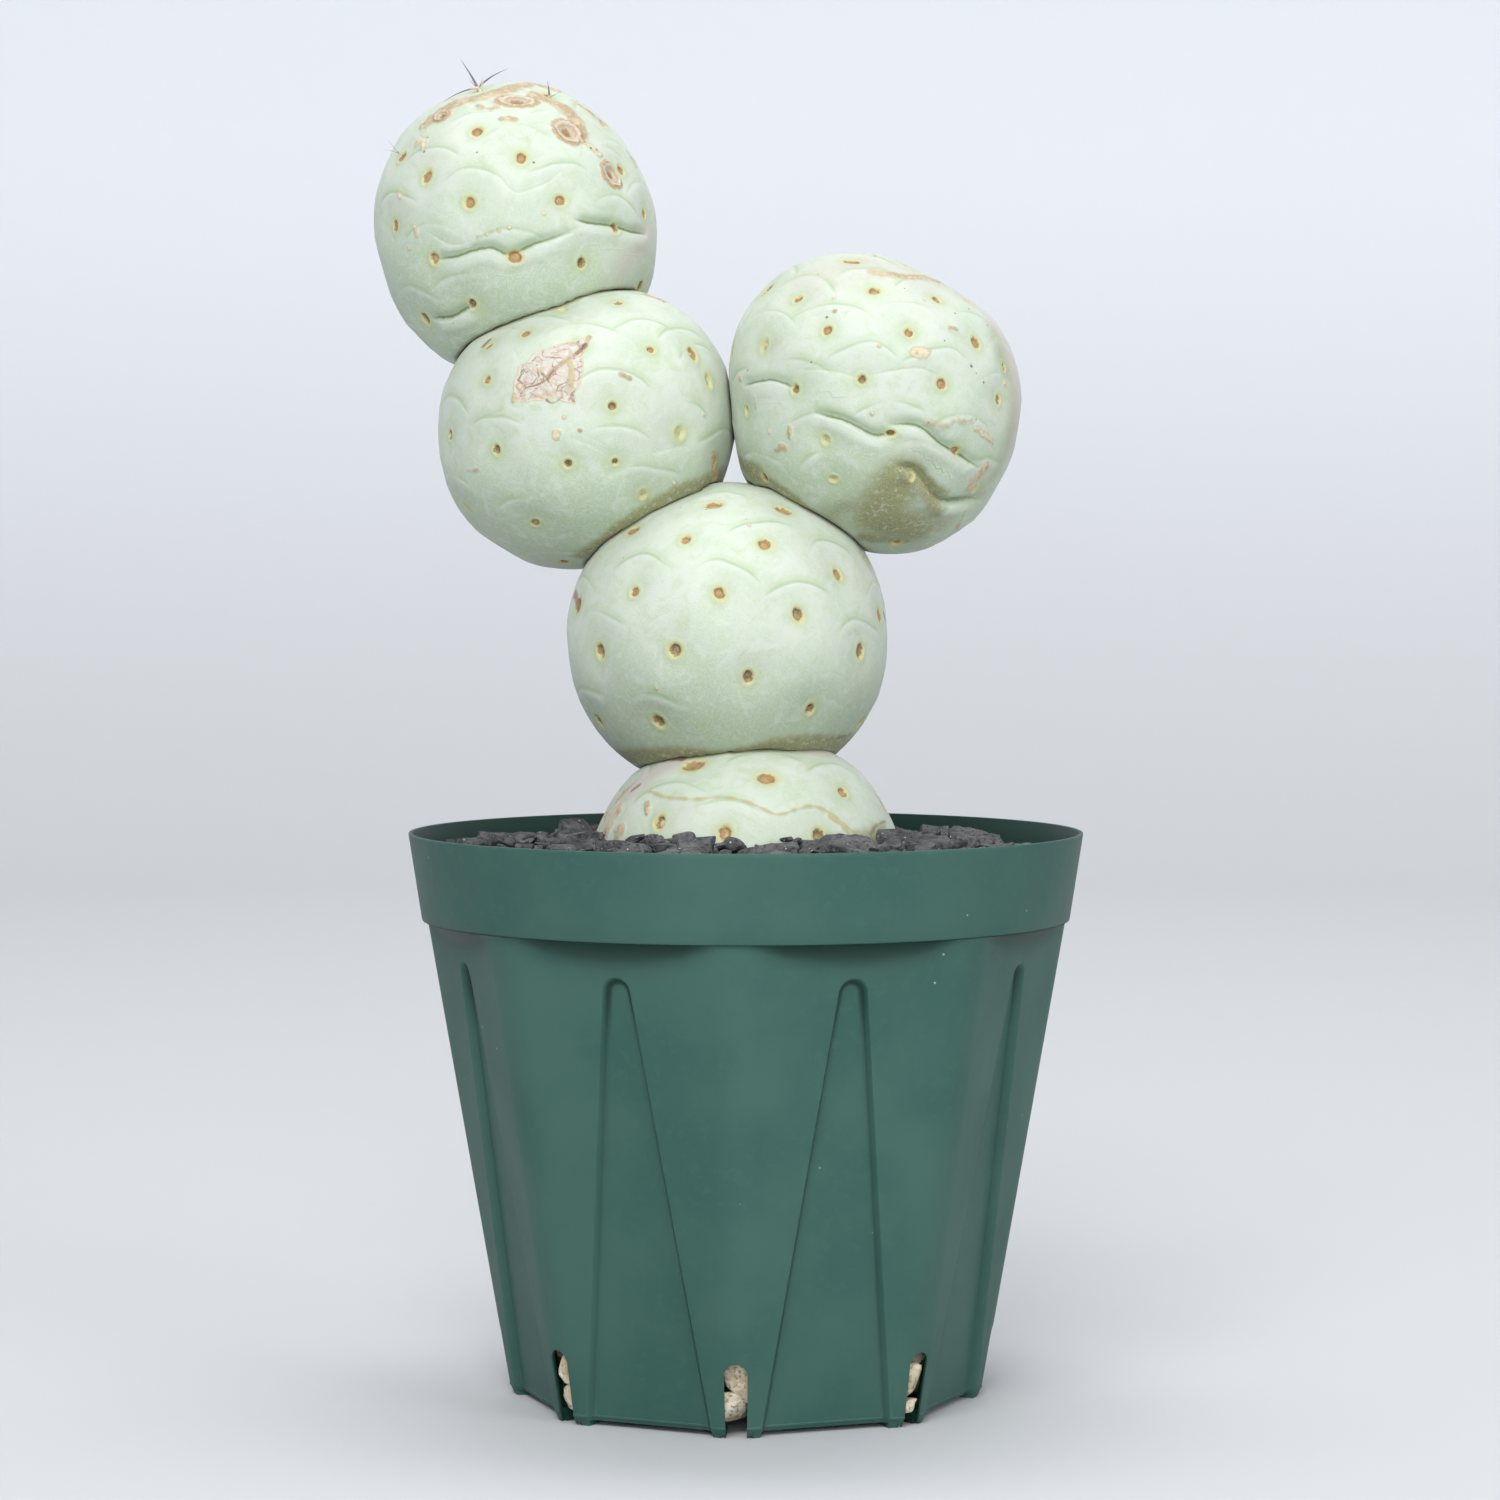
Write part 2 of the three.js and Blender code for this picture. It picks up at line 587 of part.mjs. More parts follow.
// Areoles of a segment: the seen ones, and a golden-angle spiral over the sides and the back,
// evened out by letting the spiral's own points push away from their neighbours.
function areoleDirections(segment, axes) {
  const radius = meanRadius(segment);
  const seen = segment.areoles.map((offset) => seenDirection(segment, axes, offset));
  const count = Math.round(2 * TURN * radius ** 2 / (HEX_CELL_SHARE * AREOLE_SPACING ** 2));
  const free = [];
  for (let i = 0; i < count; i += 1) {
    const height = 1 - (2 * i + 1) / count;
    const ring = Math.sqrt(1 - height * height);
    const direction = new THREE.Vector3()
      .addScaledVector(axes.up, height)
      .addScaledVector(axes.right, ring * Math.cos(i * GOLDEN_ANGLE))
      .addScaledVector(axes.near, ring * Math.sin(i * GOLDEN_ANGLE));
    const clear = seen.every((other) => direction.angleTo(other) * radius > CLEAR_SHARE * AREOLE_SPACING);
    const bare = segment.bareBelow !== undefined && height * radius < segment.bareBelow;
    if (clear && !bare && direction.dot(axes.near) < SEEN_FROM) {
      free.push(direction);
    }
  }
  for (let round = 0; round < PUSH_ROUNDS; round += 1) {
    const all = [...seen, ...free].map((direction) => direction.clone());
    free.forEach((direction) => {
      const push = new THREE.Vector3();
      all.forEach((other) => {
        const gap = direction.distanceTo(other) * radius;
        if (gap > SAME_POINT && gap < PUSH_REACH) {
          push.addScaledVector(direction.clone().sub(other), PUSH * (PUSH_REACH / gap - 1));
        }
      });
      direction.add(push).normalize();
    });
  }
  return [...seen, ...free];
}

// Nearest point of a fold's path to a direction, as a distance and a share of the path's length.
function foldPlace(path, direction, radius) {
  let best = { distance: Infinity, share: 0 };
  for (let i = 0; i < path.length - 1; i += 1) {
    const start = path[i];
    const step = path[i + 1].clone().sub(start);
    const t = THREE.MathUtils.clamp(direction.clone().sub(start).dot(step) / step.lengthSq(), 0, 1);
    const distance = direction.distanceTo(start.clone().addScaledVector(step, t)) * radius;
    if (distance < best.distance) {
      best = { distance, share: (i + t) / (path.length - 1) };
    }
  }
  return best;
}

// A fold cuts in along its path and bulges at both lips, and fades out at its ends.
function foldRelief(fold, direction, radius) {
  const { distance, share } = foldPlace(fold.directions, direction, radius);
  const fade = Math.min(1, FOLD_FADE * share, FOLD_FADE * (1 - share));
  const groove = -Math.exp(-((distance / FOLD_WIDTH) ** 2));
  const lips = LIP_SHARE * Math.exp(-(((distance - LIP_OFFSET) / LIP_WIDTH) ** 2));
  return fold.depth * (groove + lips) * (FOLD_END_SHARE + (1 - FOLD_END_SHARE) * fade);
}

// Height of the skin over the smooth body in a direction.
function skinRelief(segment, direction) {
  const { radius, areoles, folds } = segment.skin;
  let first = Infinity;
  let second = Infinity;
  areoles.forEach((areole) => {
    const distance = direction.distanceTo(areole) * radius;
    if (distance < first) {
      second = first;
      first = distance;
    } else if (distance < second) {
      second = distance;
    }
  });
  const near = first < AREOLE_SPACING ? 1 : 0;
  const pit = -PIT_DEPTH * Math.exp(-((first / PIT_RADIUS) ** 2));
  const dimple = -DIMPLE_DEPTH * Math.exp(-((first / DIMPLE_RADIUS) ** 2));
  const net = near * NET_HEIGHT * Math.exp(-(((second - first) / 2 / NET_WIDTH) ** 2));
  return folds.reduce((sum, fold) => sum + foldRelief(fold, direction, radius), pit + dimple + net);
}

// Points of the skin's mesh, as directions: a ring round each pit, the net's corners and edges,
// both lips of each fold, and an even fill where nothing else is.
function meshDirections(segment) {
  const { radius, areoles, folds, axes } = segment.skin;
  const points = [];
  const add = (direction, room) => {
    if (points.every((other) => direction.distanceTo(other) * radius > room)) {
      points.push(direction);
    }
  };
  areoles.forEach((areole) => points.push(areole));
  folds.forEach(({ directions }) => {
    for (let i = 0; i < directions.length - 1; i += 1) {
      const length = directions[i].distanceTo(directions[i + 1]) * radius;
      const steps = Math.max(2, Math.round(length / FOLD_STEP));
      const along = directions[i + 1].clone().sub(directions[i]).normalize();
      for (let step = 0; step <= steps; step += 1) {
        const middle = directions[i].clone().lerp(directions[i + 1], step / steps).normalize();
        const across = new THREE.Vector3().crossVectors(middle, along).normalize();
        [0, -FOLD_SIDE, FOLD_SIDE].forEach((offset) => {
          add(middle.clone().addScaledVector(across, offset / radius).normalize(), ROOM_AT_FOLD);
        });
      }
    }
  });
  areoles.forEach((areole) => {
    const side = new THREE.Vector3().crossVectors(areole, axes.near).normalize();
    if (side.lengthSq() < 0.5) {
      side.copy(axes.right);
    }
    const other = new THREE.Vector3().crossVectors(areole, side);
    for (let i = 0; i < PIT_RING_POINTS; i += 1) {
      const angle = (i / PIT_RING_POINTS) * TURN;
      add(areole.clone()
        .addScaledVector(side, PIT_RING_RADIUS / radius * Math.cos(angle))
        .addScaledVector(other, PIT_RING_RADIUS / radius * Math.sin(angle))
        .normalize(), ROOM_AT_PIT);
    }
  });
  const cells = new ConvexHull().setFromPoints(areoles);
  const corners = new Map(cells.faces.map((face) => [face, face.normal.clone().normalize()]));
  cells.faces.forEach((face) => {
    const corner = corners.get(face);
    const wide = corner.distanceTo(face.edge.head().point) * radius > AREOLE_SPACING;
    if (!wide) {
      add(corner, ROOM_AT_CORNER);
    }
  });
  cells.faces.forEach((face) => {
    let edge = face.edge;
    do {
      const middle = corners.get(face).clone().add(corners.get(edge.twin.face)).normalize();
      const wide = middle.distanceTo(edge.head().point) * radius > AREOLE_SPACING;
      if (!wide) {
        add(middle, ROOM_AT_EDGE);
      }
      edge = edge.next;
    } while (edge !== face.edge);
  });
  for (let i = 0; i < FILL_POINTS; i += 1) {
    const height = 1 - (2 * i + 1) / FILL_POINTS;
    const ring = Math.sqrt(1 - height * height);
    add(new THREE.Vector3(
      ring * Math.cos(i * GOLDEN_ANGLE),
      ring * Math.sin(i * GOLDEN_ANGLE),
      height,
    ), ROOM_BETWEEN);
  }
  return points;
}

// A closed surface over directions: their hull on a ball, moved out to the radius of each.
function starSurface(centre, directions, radiusAt) {
  const hull = new ConvexHull().setFromPoints(directions);
  const numbers = new Map(directions.map((direction, i) => [direction, i]));
  const index = [];
  hull.faces.forEach((face) => {
    const corners = [];
    let edge = face.edge;
    do {
      corners.push(numbers.get(edge.head().point));
      edge = edge.next;
    } while (edge !== face.edge);
    for (let i = 1; i < corners.length - 1; i += 1) {
      index.push(corners[0], corners[i], corners[i + 1]);
    }
  });
  const points = directions.map((direction) => {
    return centre.clone().addScaledVector(direction, radiusAt(direction));
  });
  const geometry = new THREE.BufferGeometry().setFromPoints(points);
  geometry.setIndex(index);
  return geometry;
}

// Works out a segment's areoles, folds and mesh points once.
function prepare(segment) {
  const axes = viewAxes(segment);
  const radius = meanRadius(segment);
  const folds = segment.folds.map((fold) => ({
    depth: fold.depth,
    directions: fold.path.map((offset) => seenDirection(segment, axes, offset)),
  }));
  segment.skin = { axes, radius, folds, areoles: areoleDirections(segment, axes) };
  segment.points = meshDirections(segment);
}

// The segment as a solid, grown by a clearance.
function segmentSolid(segment, clear) {
  const { axes } = segment.skin;
  return solidOf(starSurface(axes.centre, segment.points, (direction) => {
    return bodyRadius(segment, axes, direction) + skinRelief(segment, direction) + clear;
  }));
}

// The room that the base segment needs in the grit and the mix, turned as the plant is.
function baseSocket() {
  return segmentSolid(SEGMENTS[0], CLEARANCE).rotate([0, 0, THREE.MathUtils.radToDeg(PLANT_TURN)]);
}

// A spine: a slim needle with its root sunk in the skin.
function spineSolid(segment, spine) {
  const { axes } = segment.skin;
  const rootDirection = seenDirection(segment, axes, spine.root);
  const root = axes.centre.clone().addScaledVector(rootDirection, bodyRadius(segment, axes, rootDirection));
  const tip = root.clone()
    .addScaledVector(axes.right, spine.tip[0] - spine.root[0])
    .addScaledVector(axes.up, spine.tip[1] - spine.root[1]);
  const along = tip.clone().sub(root);
  const length = along.length() + SPINE_ROOT_DEPTH;
  const needle = new THREE.ConeGeometry(spine.thickness / 2, length, SPINE_SIDES);
  needle.translate(0, length / 2 - SPINE_ROOT_DEPTH, 0);
  const turn = new THREE.Quaternion().setFromUnitVectors(new THREE.Vector3(0, 1, 0), along.normalize());
  needle.applyQuaternion(turn);
  needle.translate(root.x, root.y, root.z);
  return solidOf(needle);
}

// Height of the mound of grit at a place, highest round the plant and a little higher in front.
function moundHeight(x, y) {
  const reach = (Math.hypot(x, y) - MOUND_SHOULDER) / (MOUND_RADIUS - MOUND_SHOULDER);
  const t = THREE.MathUtils.clamp(reach, 0, 1);
  const tilt = MOUND_TILT * (1 - MOUND_TILT_LOST_AT_EDGE * t);
  return MOUND_TOP - (MOUND_TOP - MOUND_EDGE) * t * t - tilt * y;
}

// The body of the grit under its top chips.
function gritBed() {
  const ringAt = (radius, heightAt) => {
    const ring = [];
    for (let i = 0; i < BED_SIDES; i += 1) {
      const x = radius * Math.cos((i / BED_SIDES) * TURN);
      const y = radius * Math.sin((i / BED_SIDES) * TURN);
      ring.push(new THREE.Vector3(x, y, heightAt(x, y)));
    }
    return ring;
  };
  const rings = [ringAt(BED_RINGS[0], () => MIX_TOP + CLEARANCE)];
  BED_RINGS.forEach((radius) => {
    rings.push(ringAt(radius, (x, y) => moundHeight(x, y) - BED_DEPTH));
  });
  return solidOf(loft(rings));
}

// Flat angular chips scattered over the mound by a sunflower rule.
function gritChips() {
  const random = randomStream(5);
  const chips = [];
  for (let i = 0; i < CHIP_COUNT; i += 1) {
    const share = (i + 0.5) / CHIP_COUNT;
    const radius = Math.sqrt(CHIP_INNER_RADIUS ** 2
      + share * (CHIP_OUTER_RADIUS ** 2 - CHIP_INNER_RADIUS ** 2));
    const x = radius * Math.cos(i * GOLDEN_ANGLE);
    const y = radius * Math.sin(i * GOLDEN_ANGLE);
    const length = CHIP_HALF_LENGTH.min + CHIP_HALF_LENGTH.spread * random();
    const height = CHIP_HALF_HEIGHT.min + CHIP_HALF_HEIGHT.spread * random();
    const chip = lump(random, [length, CHIP_WIDTH_SHARE * length, height], CHIP_CORNERS);
    chip.rotateX(CHIP_TILT * (2 * random() - 1));
    chip.rotateY(CHIP_TILT * (2 * random() - 1));
    chip.rotateZ(random() * TURN);
    chip.translate(x, y, moundHeight(x, y) - CHIP_SINK);
    chips.push(solidOf(chip));
  }
  return wasm.Manifold.union(chips);
}

function gritGeometry() {
  const room = fillBlock(MIX_TOP + CLEARANCE, POT_HEIGHT + OVERSHOOT);
  const heap = gritBed().add(gritChips()).intersect(room);
  return geometryOf(heap.subtract(baseSocket()));
}

function mixGeometry() {
  const fill = fillBlock(PUMICE_TOP + CLEARANCE, MIX_TOP);
  return geometryOf(fill.subtract(baseSocket()).subtract(rootHole()));
}

function makeMesh(name, geometry, colour, roughness) {
  const material = new THREE.MeshStandardMaterial({ color: colour, roughness, metalness: 0 });
  geometry.computeVertexNormals();
  const mesh = new THREE.Mesh(geometry, material);
  mesh.name = name;
  return mesh;
}

SEGMENTS.forEach(prepare);

const plant = new THREE.Group();
plant.rotation.z = PLANT_TURN;
plant.add(makeMesh('root_stock', rootGeometry(), COLOURS.root, 0.85));
SEGMENTS.forEach((segment, i) => {
  let solid = segmentSolid(segment, 0);
  segment.rests.forEach((lower) => {
    solid = solid.subtract(segmentSolid(SEGMENTS[lower], CLEARANCE));
  });
  if (i === SEGMENTS.length - 1) {
    SPINES.forEach((spine) => {
      solid = solid.add(spineSolid(segment, spine));
    });
  }
  plant.add(makeMesh(segment.name, geometryOf(solid), COLOURS.skin, 0.6));
});

const object = new THREE.Group();
object.add(makeMesh('pot', potGeometry(), COLOURS.pot, 0.5));
object.add(makeMesh('drainage_pumice', pumiceGeometry(), COLOURS.pumice, 0.95));
object.add(makeMesh('potting_mix', mixGeometry(), COLOURS.mix, 1));
object.add(makeMesh('grit', gritGeometry(), COLOURS.grit, 0.95));
object.add(plant);

export default object;
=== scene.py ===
"""Looks of a potted Tephrocactus geometricus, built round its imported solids.

Sizes are millimetres until a mesh is handed to Blender, where they become metres. The plant is
worked out as a viewer in front sees it, with +X to the viewer's right, and is turned on the pot's
own axis at the end.
"""

from __future__ import annotations

import logging
import math
from dataclasses import dataclass
from enum import Enum
from typing import ClassVar

import bpy
import numpy as np
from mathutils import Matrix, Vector, noise

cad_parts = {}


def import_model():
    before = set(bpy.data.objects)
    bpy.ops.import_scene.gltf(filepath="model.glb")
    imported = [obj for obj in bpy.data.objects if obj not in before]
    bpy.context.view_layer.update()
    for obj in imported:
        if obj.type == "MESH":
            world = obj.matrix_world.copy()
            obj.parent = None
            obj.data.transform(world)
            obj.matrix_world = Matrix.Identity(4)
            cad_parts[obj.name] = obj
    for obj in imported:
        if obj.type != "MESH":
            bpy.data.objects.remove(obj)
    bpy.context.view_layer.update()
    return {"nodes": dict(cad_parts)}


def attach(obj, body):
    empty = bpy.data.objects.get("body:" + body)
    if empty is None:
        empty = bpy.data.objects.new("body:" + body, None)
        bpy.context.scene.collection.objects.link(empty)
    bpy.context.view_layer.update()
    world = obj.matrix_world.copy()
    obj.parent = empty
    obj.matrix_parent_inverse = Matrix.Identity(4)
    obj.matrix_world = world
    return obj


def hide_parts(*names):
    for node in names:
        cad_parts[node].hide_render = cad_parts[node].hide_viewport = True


LOG = logging.getLogger("potted_cactus")
BODY = "root"
MM = 0.001
TURN = 2 * math.pi
GOLDEN_ANGLE = math.pi * (3 - math.sqrt(5))
# Where the viewer's eye is while the plant is worked out, before it is turned.
EYE = np.array([1.0, -984.0, 188.5])
PLANT_TURN = math.radians(2.17)
Socket = bpy.types.NodeSocket
Piece = bpy.types.Object
Array = np.ndarray
Pair = tuple[float, float]
Triple = tuple[float, float, float]


def linear(hex_colour: str) -> tuple[float, float, float, float]:
    """Turns an sRGB hex colour to linear light.

    Args:
        hex_colour: the colour as "#RRGGBB".

    Returns:
        Red, green, blue and an alpha of one.
    """
    parts = [int(hex_colour[i : i + 2], 16) / 255 for i in (1, 3, 5)]
    light = [p / 12.92 if p <= 0.04045 else ((p + 0.055) / 1.055) ** 2.4 for p in parts]
    return (light[0], light[1], light[2], 1.0)


def per_metre(size: float) -> float:
    """Texture scale that gives features of a real size, in millimetres."""
    return 1000.0 / size


def add_node(
    material: bpy.types.Material,
    kind: str,
    inputs: dict[str | int, object] | None = None,
    **settings: object,
) -> bpy.types.ShaderNode:
    """Adds one shader node with its settings and links.

    Args:
        material: the material that the node goes into.
        kind: Blender's name of the node, without its ShaderNode prefix.
        inputs: a value, or the socket that drives it, for each input by name or number.
        settings: the node's own properties.

    Returns:
        The new node.
    """
    node = material.node_tree.nodes.new("ShaderNode" + kind)
    for name, value in settings.items():
        setattr(node, name, value)
    for key, value in (inputs or {}).items():
        if isinstance(value, Socket):
            material.node_tree.links.new(value, node.inputs[key])
        else:
            node.inputs[key].default_value = value
    return node


def smooth_step(low: float, high: float, value: Array) -> Array:
    """Rises smoothly from 0 at low to 1 at high, or falls where low is the larger."""
    t = np.clip((value - low) / (high - low), 0, 1)
    return t * t * (3 - 2 * t)


def noise_at(points: Array, size: float, seed: float = 0.0) -> Array:
    """Smooth noise from -1 to 1 with features of a size. The seed picks the pattern."""
    moved = points / size + seed
    return np.array([noise.noise(Vector(p)) for p in moved.tolist()])


def unit(rows: Array) -> Array:
    """Scales each row to length one."""
    return rows / np.linalg.norm(rows, axis=-1, keepdims=True)


def deselect() -> None:
    """Leaves object mode with nothing selected."""
    if bpy.context.object and bpy.context.object.mode != "OBJECT":
        bpy.ops.object.mode_set(mode="OBJECT")
    bpy.ops.object.select_all(action="DESELECT")


def activate(piece: Piece) -> None:
    """Makes one piece the only selected one, and active.

    Args:
        piece: the piece.
    """
    deselect()
    piece.select_set(True)
    bpy.context.view_layer.objects.active = piece


def edit_all() -> None:
    """Enters edit mode on the active piece, with all of it selected."""
    bpy.ops.object.mode_set(mode="EDIT")
    bpy.ops.mesh.select_all(action="SELECT")


def end_edit() -> None:
    """Goes back to object mode."""
    bpy.ops.object.mode_set(mode="OBJECT")


def face_outwards(piece: Piece) -> None:
    """Turns every face of a closed piece outwards.

    Args:
        piece: the piece.
    """
    activate(piece)
    edit_all()
    bpy.ops.mesh.normals_make_consistent(inside=False)
    end_edit()


def turned(points: Array, angle: float) -> Array:
    """Turns places about the pot's axis.

    Args:
        points: the places, one a row.
        angle: the angle, in radians.

    Returns:
        The turned places.
    """
    cos, sin = math.cos(angle), math.sin(angle)
    x, y, z = points.T
    return np.stack([x * cos - y * sin, x * sin + y * cos, z], 1)


def curve_between(places: list[Array], t: Array | float) -> Array:
    """Smooth curve through four places in a row, from the second at 0 to the third at 1."""
    a, b, c, d = places
    return b + 0.5 * t * (c - a + t * (2 * a - 5 * b + 4 * c - d + t * (3 * (b - c) + d - a)))


def points_of(piece: Piece) -> Array:
    """Reads the vertices of a mesh piece.

    Args:
        piece: the mesh piece.

    Returns:
        The vertices, one a row.
    """
    flat = np.empty(len(piece.data.vertices) * 3)
    piece.data.vertices.foreach_get("co", flat)
    return flat.reshape(-1, 3)


def move_points(piece: Piece, points: Array) -> None:
    """Writes the vertices of a mesh piece, one a row."""
    piece.data.vertices.foreach_set("co", np.ascontiguousarray(points, dtype=np.float32).ravel())
    piece.data.update()


def select_faces(piece: Piece, chosen: Array) -> None:
    """Selects only the chosen faces of a piece in object mode.

    Args:
        piece: the mesh piece.
        chosen: true for each face that is selected.
    """
    bpy.context.tool_settings.mesh_select_mode = (False, False, True)
    mesh = piece.data
    mesh.vertices.foreach_set("select", np.zeros(len(mesh.vertices), bool))
    mesh.edges.foreach_set("select", np.zeros(len(mesh.edges), bool))
    mesh.polygons.foreach_set("select", chosen)


def write_attribute(piece: Piece, name: str, values: Array) -> None:
    """Stores one number for each vertex, for the material to read."""
    attribute = piece.data.attributes.new(name, "FLOAT", "POINT")
    attribute.data.foreach_set("value", values.astype(np.float32))


def apply_modifier(piece: Piece, kind: str, **settings: object) -> None:
    """Adds a modifier to a piece and applies it.

    Args:
        piece: the mesh piece.
        kind: Blender's name of the modifier.
        settings: the modifier's properties.
    """
    activate(piece)
    modifier = piece.modifiers.new(kind.lower(), kind)
    for name, value in settings.items():
        setattr(modifier, name, value)
    bpy.ops.object.modifier_apply(modifier=modifier.name)


def join(pieces: list[Piece], name: str) -> Piece:
    """Joins pieces into one and puts its place in its mesh.

    Args:
        pieces: the mesh pieces.
        name: the name of the joined piece.

    Returns:
        The joined piece.
    """
    deselect()
    for piece in pieces:
        piece.select_set(True)
    bpy.context.view_layer.objects.active = pieces[0]
    bpy.ops.object.join()
    joined = bpy.context.object
    joined.name = name
    bpy.ops.object.transform_apply(location=True, rotation=True, scale=True)
    return joined


def hand_over(
    piece: Piece, finish: Finish, replaced: str, smooth_angle: float
) -> None:
    """Dresses a finished piece and hangs it on the model.

    Args:
        piece: the mesh piece.
        finish: its finish.
        replaced: the solid that it stands for, or nothing for an added piece.
        smooth_angle: edges flatter than this, in degrees, are shaded smooth.
    """
    activate(piece)
    bpy.ops.object.shade_smooth_by_angle(angle=math.radians(smooth_angle))
    piece.data.materials.clear()
    piece.data.materials.append(finish.material())
    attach(piece, BODY)
    if replaced:
        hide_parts(replaced)
    LOG.info("%s: %d faces", piece.name, len(piece.data.polygons))


@dataclass(frozen=True)
class Texture:
    """A pattern of a material, with features of a real size in millimetres."""

    name: str
    size: float
    detail: float = 2.0
    distortion: float = 0.0
    cells: str = ""


@dataclass(frozen=True)
class Sum:
    """A reading that is worked out from others: the first, times a factor, plus an addend."""

    name: str
    first: str
    factor: str | float
    plus: str | float


@dataclass(frozen=True)
class Ramp:
    """Rises smoothly from nothing at the start to the most at the end of a reading's range."""

    reading: str
    start: float
    end: float
    most: float = 1.0


@dataclass(frozen=True)
class Coat:
    """One of a finish's tones, laid where all of its ramps are up."""

    tone: str
    ramps: tuple[Ramp, ...]


def coat(tone: str, *ramps: tuple) -> Coat:
    """Writes a coat down from plain tuples, one for each ramp."""
    return Coat(tone, tuple(Ramp(*values) for values in ramps))


class Finish:
    """What every finish shares: tones laid over a ground, and one material, made once."""

    name: ClassVar[str] = "finish"
    ground: ClassVar[str] = "#808080"
    roughness: ClassVar[float] = 0.6
    attributes: ClassVar[tuple[str, ...]] = ()
    textures: ClassVar[tuple[Texture, ...]] = ()
    sums: ClassVar[tuple[Sum, ...]] = ()
    coats: ClassVar[tuple[Coat, ...]] = ()
    bump: ClassVar[tuple[str, float, float] | None] = None
    gloss: ClassVar[tuple[tuple[str, float], ...]] = ()

    def material(self) -> bpy.types.Material:
        """Gives the finish's material, and makes it the first time.

        Returns:
            The material.
        """
        known = bpy.data.materials.get(self.name)
        if known:
            return known
        made = bpy.data.materials.new(self.name)
        made.use_nodes = True
        made.node_tree.nodes.clear()
        read = self.read_surface(made)
        inputs = {"Base Color": self.lay_coats(made, read), "Roughness": self.roughness}
        inputs.update(self.gloss)
        if self.bump:
            reading, strength, depth = self.bump
            inputs["Normal"] = add_node(
                made,
                "Bump",
                {"Height": read[reading], "Strength": strength, "Distance": depth * MM},
            ).outputs[0]
        shader = add_node(made, "BsdfPrincipled", inputs)
        add_node(made, "OutputMaterial", {"Surface": shader.outputs[0]})
        return made

    def read_surface(self, made: bpy.types.Material) -> dict[str, Socket]:
        """Adds what the finish reads: attributes of the mesh, patterns and sums of them.

        Args:
            made: the material.

        Returns:
            One socket for each reading's name.
        """
        place = add_node(made, "TexCoord").outputs["Object"]
        read = {
            name: add_node(made, "Attribute", attribute_name=name).outputs["Fac"]
            for name in self.attributes
        }
        for texture in self.textures:
            inputs = {"Vector": place, "Scale": per_metre(texture.size)}
            if texture.cells:
                node = add_node(made, "TexVoronoi", inputs)
            else:
                inputs.update({"Detail": texture.detail, "Distortion": texture.distortion})
                node = add_node(made, "TexNoise", inputs)
            read[texture.name] = node.outputs[texture.cells or "Fac"]
        for total in self.sums:
            inputs = {
                number: read[part] if isinstance(part, str) else part
                for number, part in enumerate((total.first, total.factor, total.plus))
            }
            node = add_node(made, "Math", inputs, operation="MULTIPLY_ADD")
            read[total.name] = node.outputs[0]
        return read

    def lay_coats(self, made: bpy.types.Material, read: dict[str, Socket]) -> object:
        """Lays the finish's coats over its ground, one over the other.

        Args:
            made: the material.
            read: one socket for each reading's name.

        Returns:
            The colour, or the socket that gives it.
        """
        colour: object = linear(self.ground)
        for layer in self.coats:
            amount = None
            for ramp in layer.ramps:
                step = add_node(
                    made,
                    "MapRange",
                    {
                        "Value": read[ramp.reading],
                        "From Min": ramp.start,
                        "From Max": ramp.end,
                        "To Max": ramp.most,
                    },
                    interpolation_type="SMOOTHSTEP",
                ).outputs[0]
                if amount is not None:
                    step = add_node(made, "Math", {0: amount, 1: step}, operation="MULTIPLY")
                    step = step.outputs[0]
                amount = step
            tone = linear(getattr(self, layer.tone))
            colour = add_node(
                made, "Mix", {0: amount, 6: colour, 7: tone}, data_type="RGBA"
            ).outputs[2]
        return colour


